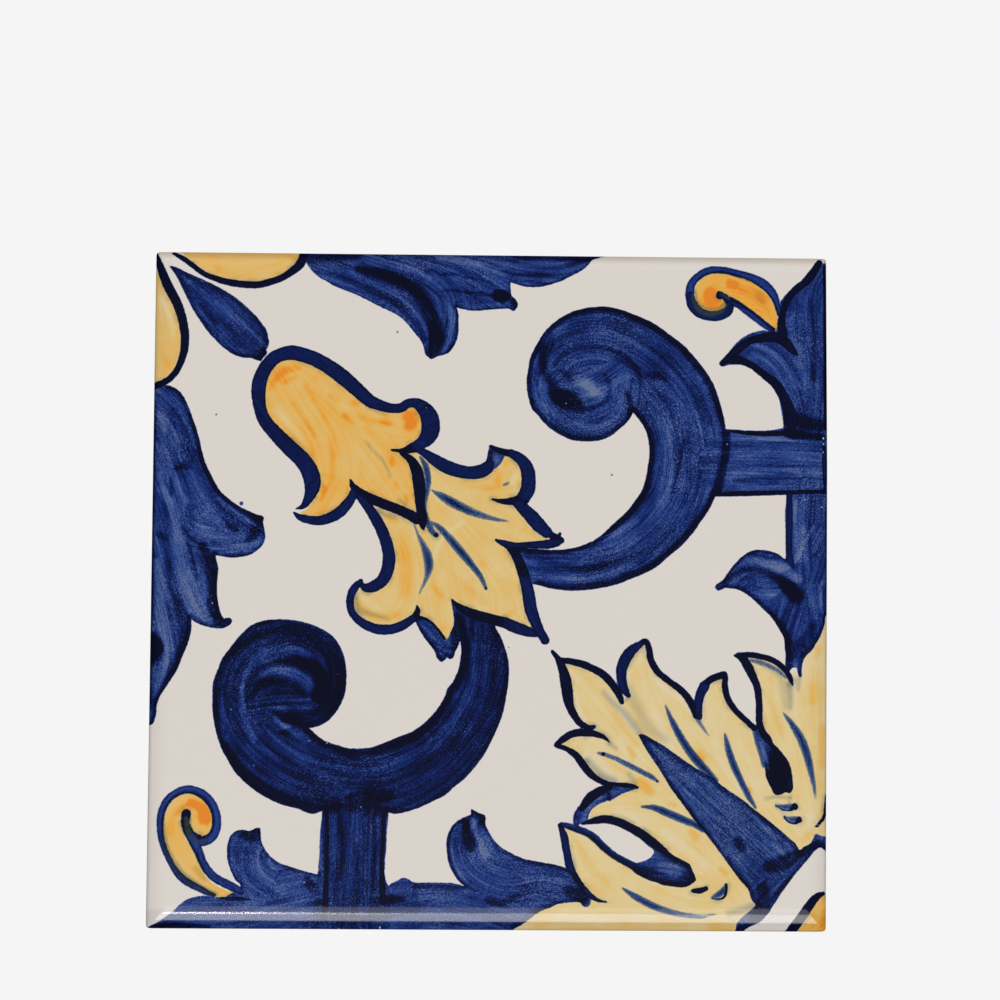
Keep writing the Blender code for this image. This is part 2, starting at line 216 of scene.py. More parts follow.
# Outline strokes: x,y,width along the middle of the stroke, in mm, grouped by the depth of the blue
LINES = {
    1.0: """
    -66.2,69.5,0.7 -64.1,68.2,1.1 -62.1,66.7,1.1 -59.9,65,1.1 -56.9,63.8,1.25 -54.3,63.15,1.4 \
        -51.4,62.8,1.5 -48.8,62.75,1.5 -46.2,63.3,1.45 -43.6,64.3,1.45 -41.6,65.6,1.6 -40,67.1,1.9 \
        -39.3,68.6,1.9 -39.1,70.5,1.8
    -69.8,69.2,0.8 -68.9,66.6,1.5 -67.8,63.7,1.9 -66.6,61.2,2 -65.45,59.1,1.95 -64.4,56.4,1.9 \
        -63.8,53.9,1.8 -63.5,51.4,1.75 -63.6,49.15,1.65 -64,47.3,1.5 -64.7,45.4,1.35 -65.5,44,1.35 \
        -66.8,42.7,1.35 -68.4,41.85,1.5 -70.5,41.4,1.6
    -16.2,28.9,2.2 -18.2,28.3,1.1 -20.6,28.4,0.4
    -18.6,27.8,0.8 -16.6,26.4,1.7 -15.4,24.3,2.4 -14.9,22,2.6 -14.65,19.8,2.5 -14.6,17.6,2.1 \
        -14.35,15.8,1.9 -14.1,14.3,2.2 -14,12.8,1.3 -13.8,12,0.5
    -29,22.1,0.4 -28.4,20.7,1.4 -26.6,19.3,1.7 -24.3,18.1,2 -22,17.1,2.1 -19.5,16.2,2.1 -17.2,15.2,2.1 \
        -15.2,14.1,2.3
    -0.1,29.3,0.7 1.8,28.4,1.3 4,27.9,1.5
    6.8,18.4,2.4 4.6,18,1.7 2.3,17.9,1.1 0.3,18.3,0.4
    1.2,9.85,0.6 3.2,8.9,1.2 4.8,7.4,1.8 6,5.2,2.2 7,2.4,2.4
    12.2,11.2,1.3 13.4,10.4,1.7 14.6,9.9,1.2
    14,10.6,0.7 14.3,11.3,0.6
    -7.9,-2.6,0.4 -6.9,-3.7,1.2 -4.7,-5,1.9 -2,-6,2.2 0.5,-6.6,2.2 3,-7.2,2.2
    -15.1,-3.9,0.4 -14.9,-5,1.2 -15.5,-6.4,1.4 -14,-6.4,0.8 -12.5,-7,0.6 -11,-8.5,0.6 -9.4,-10.6,0.7
    12.8,-13.1,0.7 13.9,-14.5,1.2 14.7,-16.1,1.7 15.5,-18.7,2.3 15.9,-21.3,2.3 16.3,-23.9,1.9 \
        17.3,-26.1,1.5 18.7,-27.9,1.4 20.2,-28.7,1.2
    14.3,-14.8,1 16.5,-15.1,1.3 18.8,-15.6,1.5 21,-16.5,1.5 23.2,-17.7,1.6 25.1,-19.7,1.6 26.5,-21.8,1.4 \
        27.1,-23.4,1
    30.6,-11.5,1.1 32,-10.8,1.1 32.7,-12.4,1.3 33,-14.4,1.4 34.3,-16.9,1.4 36.6,-18.9,1.3 38.7,-20.4,1.4 \
        40.5,-22.2,1.5 41.7,-24.2,1.5 42.4,-26.1,1.3
    44.2,-19.6,1.4 45.6,-18.5,1.4 47.2,-17.9,1.4 48.3,-17.5,1.1 48.3,-19.8,1.3 48.7,-22,1.3 \
        49.7,-23.9,1.3 51.3,-25.8,1.2 53,-27.3,1.2 54.4,-28.7,1.2
    50.4,-13.65,0.5 51.8,-14.1,1.5 53,-15.7,1.9 54,-17.8,1.7 54.9,-19.9,1.5 55.3,-22.4,1.4 55.4,-25,1.4 \
        55.4,-27.3,1.4 56,-29.3,1.5 57.3,-31.1,1.5 57.8,-32,0.8
    51,-13.5,0.9 53.2,-13.5,1.2 55.5,-13.75,1.2 57.8,-14.4,1.2 59.7,-15.5,1.2 61.1,-17,1.2 62,-18.7,0.9 \
        62.3,-19.8,0.3
    13.6,-32.3,0.9 15.2,-31,1.4 17.2,-29.9,1.5 19.5,-29.7,1.6 21.7,-30,1.3 23.4,-30.6,0.9 24.6,-31.6,0.3
    13.8,-32.5,0.8 15.8,-33.1,1.1 17.6,-34.3,1.4 19.1,-36.2,1.6 20.6,-38.1,1.5 22.4,-39.4,1.2 \
        24.6,-40.2,1 27,-40.4,1 29,-40.6,1.1 30.3,-40.9,0.6
    24.6,-40.9,1.5 22.3,-41.9,1.9 20.4,-43.3,2 19,-45.2,1.4
    19.1,-48.3,0.6 21.2,-47.8,1.3 23.5,-47.4,1.7 26,-47.8,1.7 28.5,-48.9,1.8 31,-50.3,1.9 33.6,-52.2,1.9 \
        36,-54,1.4
    14.5,-48.7,0.9 15.2,-50.4,1.2
    17.2,-58.2,1.2 18.3,-60.2,1.3 19.6,-62,1.3
    47.9,47.1,1.2 49.5,48.4,1.8 51.4,50.3,2 53.6,51.9,1.7 56.4,52.6,2 59,52.8,2.4 61,51.8,2.3 \
        62.6,50,1.6 63.6,49,0.6
    50,48.2,2.6 52.5,47.6,1.6 54.7,46.4,1.5 56.9,44.7,1.7 59.1,42.9,2 60.7,40.3,2.2 61.7,37.7,2.6 \
        62.2,35,3.2
    68.4,68.8,1.3 66.9,66.3,1.8 65.1,64.2,1.7 63,62.5,1.6 61.4,60.3,1.6 60.6,58,1.4 60.3,55.6,1.8 \
        60.6,53.2,2
    49.7,33,0.6 52,32.7,0.9 56,32.5,1.1 60.5,32.6,1.2 63,32.6,1
    46.5,19.7,0.8 50,19.9,1.1 56,20.1,1.1 62,20.3,1 69.5,20.6,1
    -33.2,-45.8,1 -33.1,-52,1 -33.1,-58,1 -33.3,-64,1.3 -33.6,-68,1.1
    -21.6,-46,1 -21.6,-51,1 -21.9,-56,1 -21.8,-60,1.3 -21.6,-64.5,1.5
    61.6,-70.5,2 62.9,-68.6,2 64.3,-66.6,1.9 65.8,-64.4,1.8 67.2,-62.9,1.4 68.6,-62.2,0.8
    69.2,-42.1,0.3 69.1,-44.6,0.7 69,-46,0.7 68.1,-47.6,0.7 67.4,-48.3,0.7 66.9,-48.6,0.5
    41.7,-61.9,0.8 43.2,-61.8,1.2 44.4,-61.4,0.9
    48.5,-60.6,0.6 48.5,-61.9,0.6 48,-63.2,0.5 46.6,-63.6,0.3 45.5,-63.3,0.3
    -4.6,-48,1.2 -4.6,-50,1.6
    58.7,-44.3,0.3 60,-45.2,0.35 61.6,-45.3,0.5 62.6,-44.6,1.3
    60.4,-46.6,0.3 61.2,-47.6,0.35 62.6,-48,0.5 63.5,-47.3,1.2
    -61.8,-46.8,1.9 -62,-48.5,1.6 -61.3,-50.5,1.6
    """,
    0.88: """
    -40.1,16.05,0.3 -38.8,16.5,1.1 -37.5,18.4,2.1 -36.8,21,3.3 -37.3,23.5,3.6 -38.7,25.9,3.4 \
        -41.4,28.5,3.3 -44.4,31.5,3 -46.8,34.3,2.7 -47.8,37,2.6 -48.15,39.8,2.9 -47.95,42.4,3 \
        -46.9,45.1,2.8 -45.1,47.3,2.8 -43.2,48.25,2.8 -41.4,48.55,3.05 -38.8,48.05,3 -36.4,47.15,3 \
        -33.4,45.45,3.1 -30.4,43.2,3.2 -27.7,40.85,2.95 -25.3,38.7,2.7 -23,37.7,2.3 -20.5,37.1,2 \
        -18.6,37.25,1.9 -17.3,38.1,1.9 -15.8,38.3,2 -14.3,37.45,2.8 -13,35.7,3.6 -12.5,33.6,3.8 \
        -12.9,31.6,3.6 -14.3,30,2.6 -16,29.1,1.9
    -40.6,15.2,0.4 -39.4,14.3,1.3 -37.5,13.75,1.7 -35.3,13.6,1.95 -33.2,14.2,2.2 -31.4,15.2,2.3 \
        -30,16.6,2.2 -28.8,18.3,1.9 -28.2,19.7,1.7
    -15.6,28.8,1.2 -13.4,27.6,1.8 -11.6,26.4,2.4 -9.2,25,2.8 -6.7,24.15,2.75 -4.2,23.8,2.65 -2,24.15,2.8 \
        -0.5,25.2,2.4 -0.3,26.6,1.2 -0.1,28.2,1
    4.2,27.9,1.8 6.1,26.7,2.3 7.4,24.9,2.75 7.8,22.6,2.9 7.6,20.4,3 6.8,18.8,2.8
    5.8,17.3,2.2 8.1,15.1,2.8 9.9,13.1,2.9 11.6,11.5,2.3
    1.2,9.8,0.6 2.8,9.2,1.3 4.8,8.75,1.3 7.2,8.85,1.3 9.8,8.95,1.6 12,9.1,1.9 13.6,9.45,1.7 14.7,9.8,1
    7,2.4,2.4 7.45,0.5,2.45 7.9,-1.6,2.6 8.3,-4.2,2.6 9.2,-6.8,2.3 10.3,-9,1.9 11.3,-10.8,1.8
    3,-7.2,2.3 5.3,-8.2,2.4 7.4,-8.9,2.2 9.2,-9.5,1.4
    -27.9,19.4,0.9 -26.7,18.2,1.6 -25.2,16.3,2 -23.5,13.7,2.3 -22.2,11.1,2.4 -21.3,8.5,2.5 -20.9,6,2.6 \
        -21.2,3.5,2.6 -22.2,1.4,2.5 -23.9,0.1,2.3 -25.5,-0.25,1.8 -26.5,0.4,1.1 -26.7,1.2,0.9
    -26.6,1.2,0.8 -27.5,0.3,1.5 -28.4,-1.1,1.7 -28.85,-3,1.6 -28.55,-4.9,1.55 -27.6,-6.4,1.65 \
        -25.9,-7.7,1.85 -23.8,-8.6,2 -21.6,-8.85,2.1 -19.4,-8.5,2 -17.4,-7.6,1.85 -16,-6.6,1.6
    20.2,-28.6,0.9 21.4,-28.5,0.8
    31.4,-11.1,1.1 30.4,-11.8,1.6 28.9,-13,2.2 27.6,-15,2.35 27,-17.2,2.2 27.2,-19.4,1.9 27.8,-21,1.6 \
        28.5,-22.1,0.9
    43,-26.3,1.4 42.85,-24,1.7 43.2,-21.9,1.9 44.1,-20,2.1
    14.6,-49,1 15.3,-50.9,1.6 15.7,-53,1.6 16.1,-55.2,1.6 16.6,-57.3,1.7 17.2,-58.4,1.4
    19.6,-61.9,1.4 20.9,-63.1,1.1 22.6,-64,0.6 24,-64.2,0.3
    41.2,61.4,1.8 41.7,59.5,2.2 43.1,57.9,2.2 45.2,57.15,2.1 47.4,57.25,2.2 49.1,58.2,2 49.5,59.6,1.6 \
        48.6,61,1.4 47.3,61.9,1
    -54.6,-63.9,0.5 -52.6,-64,0.9 -50.4,-64,0.9 -48.6,-64.1,0.4
    68.9,32,0.3 69.3,28,1.3 69.4,24,1.3 69.3,20.8,0.6
    61.8,19.8,1.3 61.8,16,1.5 61.7,12,1.5 61.7,8,1.4 61.9,6,1.6 62.4,5,1
    """,
}

# Thin or washed strokes whose pigment lets the yellow through
WASHES = {
    0.76: """
    -55.9,-63.3,0.8 -57.4,-62.7,1.1 -59,-61.9,1.3 -61.6,-60.5,1.5 -63.4,-58.9,1.4 -64.7,-56.9,1.2 \
        -65.9,-54.5,1.2 -66.8,-51.9,1.3 -67.1,-49.3,1.4 -66.9,-46.7,1.5 -66,-44.5,1.5 -64.4,-42.9,1.5 \
        -62.1,-41.9,1.6 -59.8,-42.2,1.7 -57.8,-43.4,1.8 -56.3,-45.4,1.8 -55.6,-47.9,1.8 -55.9,-50.3,1.9 \
        -57.1,-51.9,2 -58.9,-52.3,2 -60.1,-51.2,1.3
    -61.8,-46.8,1.9 -62,-48.5,1.8 -61.3,-50.5,2 -60.3,-52.2,2 -59.4,-54,1.9 -58.6,-56,1.6 -57.5,-58,1.7 \
        -55.9,-59.7,1.7 -53.9,-60.8,1.7 -52,-61.7,1.7 -50.4,-62.6,1.4
    41.15,61.6,1.9 41.5,63.7,1.6 42.9,65.4,1.5 45.2,66.7,1.6 48.2,66.8,1.5 51.2,66.1,1.5 54,65.3,1.7 \
        56.6,63.9,2 58.4,62,1.8 59.3,60,1.3 59.8,57.6,0.9
    49.5,60.4,1.6 51.2,59.6,1.4 53.2,58.1,1.5 55.2,56.6,1.5 57,55.2,1.4 58.4,54.3,1.2
    14.8,-48.5,0.9 17.3,-49.2,1.4 19.5,-50,1.4 21.5,-51.2,1.5 23.2,-52.9,1.5 25.3,-54.6,1.4 27.7,-56,1.4 \
        30.2,-57.2,1.7 33,-58.2,1.8
    24.4,-42.2,1 24.5,-43.1,1.2
    17.9,-48,1.4 17.6,-46.8,0.7 18.4,-45.2,0.7
    """,
    0.6: """
    -14.6,27,0.6 -13.5,25,1.3 -13.05,22.8,1.4 -13.1,20.6,1.2 -13.5,18.35,0.9 -13.6,16.5,0.7 -13.2,14.3,1 \
        -12.8,12.8,1.3 -11.9,11.3,1.2 -11.1,10.8,1
    36.1,-24.1,0.4 37.3,-26.9,1.1 38.8,-29.85,1.5 40.6,-32.8,1.7 42.6,-35.4,1.8 44.6,-37.5,1.5 \
        46.5,-39.4,1
    48.3,-29.8,0.4 48.8,-32.1,1.2 49.6,-34.8,1.5 50.6,-37.4,1.5 51.9,-40.1,1.3 53.3,-42.8,1.2 \
        54.6,-44.9,0.5
    22.2,-33.9,0.4 23.3,-34.1,0.8 26.1,-35.1,0.9 28.7,-36.4,1.1 31.3,-37.7,1.1 33.2,-38.7,1 \
        34.5,-39.6,0.6
    31.3,-44.8,0.5 33.6,-44.95,1.2 35.4,-45.6,1.6 37.3,-46.4,1.6 39.9,-47.5,1.6 42.1,-48.4,1.3 \
        43.8,-49.4,1.2
    27.4,-61.5,0.4 29.4,-62.8,1.2 32.1,-64.3,1.5 34.9,-65.5,1.4 37.5,-66.3,1.2 40.6,-66.9,1 \
        43.6,-67.1,0.8 46.5,-66.6,0.3
    54.4,-29.4,0.8 55.1,-31.6,1.2 55.7,-33.8,1 56.3,-36.4,0.7
    """,
    0.56: """
    -12.2,20.1,0.3 -10.4,19,1.4 -8.2,17.7,2 -5.9,16.55,1.9 -3.4,15.45,1.6 -1,14.7,1.2 1.2,14.1,0.8 \
        3.5,13.8,0.3
    -12.4,13.5,0.5 -10.8,12.5,1.2 -9,10.7,1.5 -7.2,8.6,1.8 -5.4,6.5,1.7 -3.6,4.3,1.4 -2,2.2,1.1 \
        -0.9,-0.2,0.7
    45.7,-63.1,0.5 46.8,-62.7,1.3 47.9,-61.8,1.3 48.3,-60.8,0.4
    58.9,-44.5,0.7 60.4,-44.7,1.2 62,-44.6,1.3
    60.5,-46.8,0.6 61.6,-47.2,1.2 63,-47.2,1.3
    60.3,-25.3,0.3 61.9,-27.4,1.2 63.6,-30,1.7 64.8,-32.8,1.8 65.6,-35.6,1.6 66.2,-38.2,1.2 \
        66.7,-40.7,0.8 67,-43.1,0.3
    """,
    0.47: """
    2.7,21.3,0.5 3.2,21.5,0.6 3.7,21.9,0.4
    -15.8,13,0.4 -14.9,10.7,0.7 -13.8,8.5,1.4 -12.95,6.3,2 -12.7,4.3,1.9 -13.1,2.2,1.1 -13.9,0.2,0.6 \
        -14.6,-1.3,0.3
    -12.9,-8.2,1 -11.6,-9.4,1.3 -10.3,-10.3,1.2
    42.7,-26.8,1 43.8,-28.6,0.7 45,-30.2,0.3
    53.6,-14.6,0.7 55.5,-15,1.1 57.8,-15.9,1 59.7,-17,0.9 61,-18.2,0.5
    """,
}

# Faint soft washes over the yellow, of thinned blue
SHADES = {
    0.9: """
    41.9,62.4,0.4 41.9,60.6,0.8 43,58.5,1.2 45.4,57.6,1.5 47.6,58.1,1.2 48.8,59.4,0.8
    47.6,61.8,0.5 49.4,60.8,0.6
    -61.8,-47.8,1.2 -61.5,-50,1.3 -60.2,-52,1.2 -58.2,-52.6,1.1 -56.6,-51.4,0.6
    """,
    0.68: """
    51,65.6,0.3 53.4,64.9,0.5 55.6,63.8,0.3
    -66.9,-49,1 -66.6,-52,1.1 -65.3,-55.6,1.2 -63,-59,1.3 -59,-61.9,1.2 -56,-63.3,1
    -0.6,27.4,0.6 1,27.6,0.9
    """,
    0.17: """
    -26,30.2,0.3 -24.3,28.2,0.4 -22.4,26.3,0.5 -21.5,24.6,0.4 -20.8,22.8,0.3
    23.4,-21.4,0.8 25.4,-23.6,1.1 27.6,-25.6,1.2 29.8,-28.4,1.4 31.2,-30.2,1.2
    20.2,-35.4,1.2 21.6,-37.2,1.6 23.6,-38.6,1.3 26,-39.4,0.8
    61.6,-19.6,1.4 61.9,-22,1 61.9,-24.4,0.6
    63.6,-18.2,0.8 63.4,-20.6,0.6
    56.6,-43,0.5 59,-42.6,0.6 61.8,-42.8,0.5
    61.8,-42,0.3 61.5,-44,0.4
    54.4,-64.8,1.6 52,-65.6,1.4 49,-66.4,1
    24.4,-31.8,0.6 26,-33,0.6
    -27.6,-2.4,1 -27,-4.6,1.1 -24,-5.8,0.8 -21,-6.6,0.6
    56.6,-15.4,1.2 59.6,-17.2,1.2
    34,-56.4,1.4 31.6,-50,1
    28.6,-38.2,0.8 30,-40,0.8
    -19,18,0.6 -17.6,17.2,0.8
    -23.7,15.9,0.8 -22,15,1 -19.6,14.2,0.6
    """,
    0.1: """
    27,-18,1.6 30,-24,2.2 33,-29,2 36,-31,1.6
    55.4,61.8,1.6 56.2,60.4,1.2
    -64.8,-57,1.2 -62,-60,1.2
    -59.6,-58,1 -58,-60,1
    18,-60,1 17,-56,1
    60,-18,1.6 61,-24,1.4
    """,
}

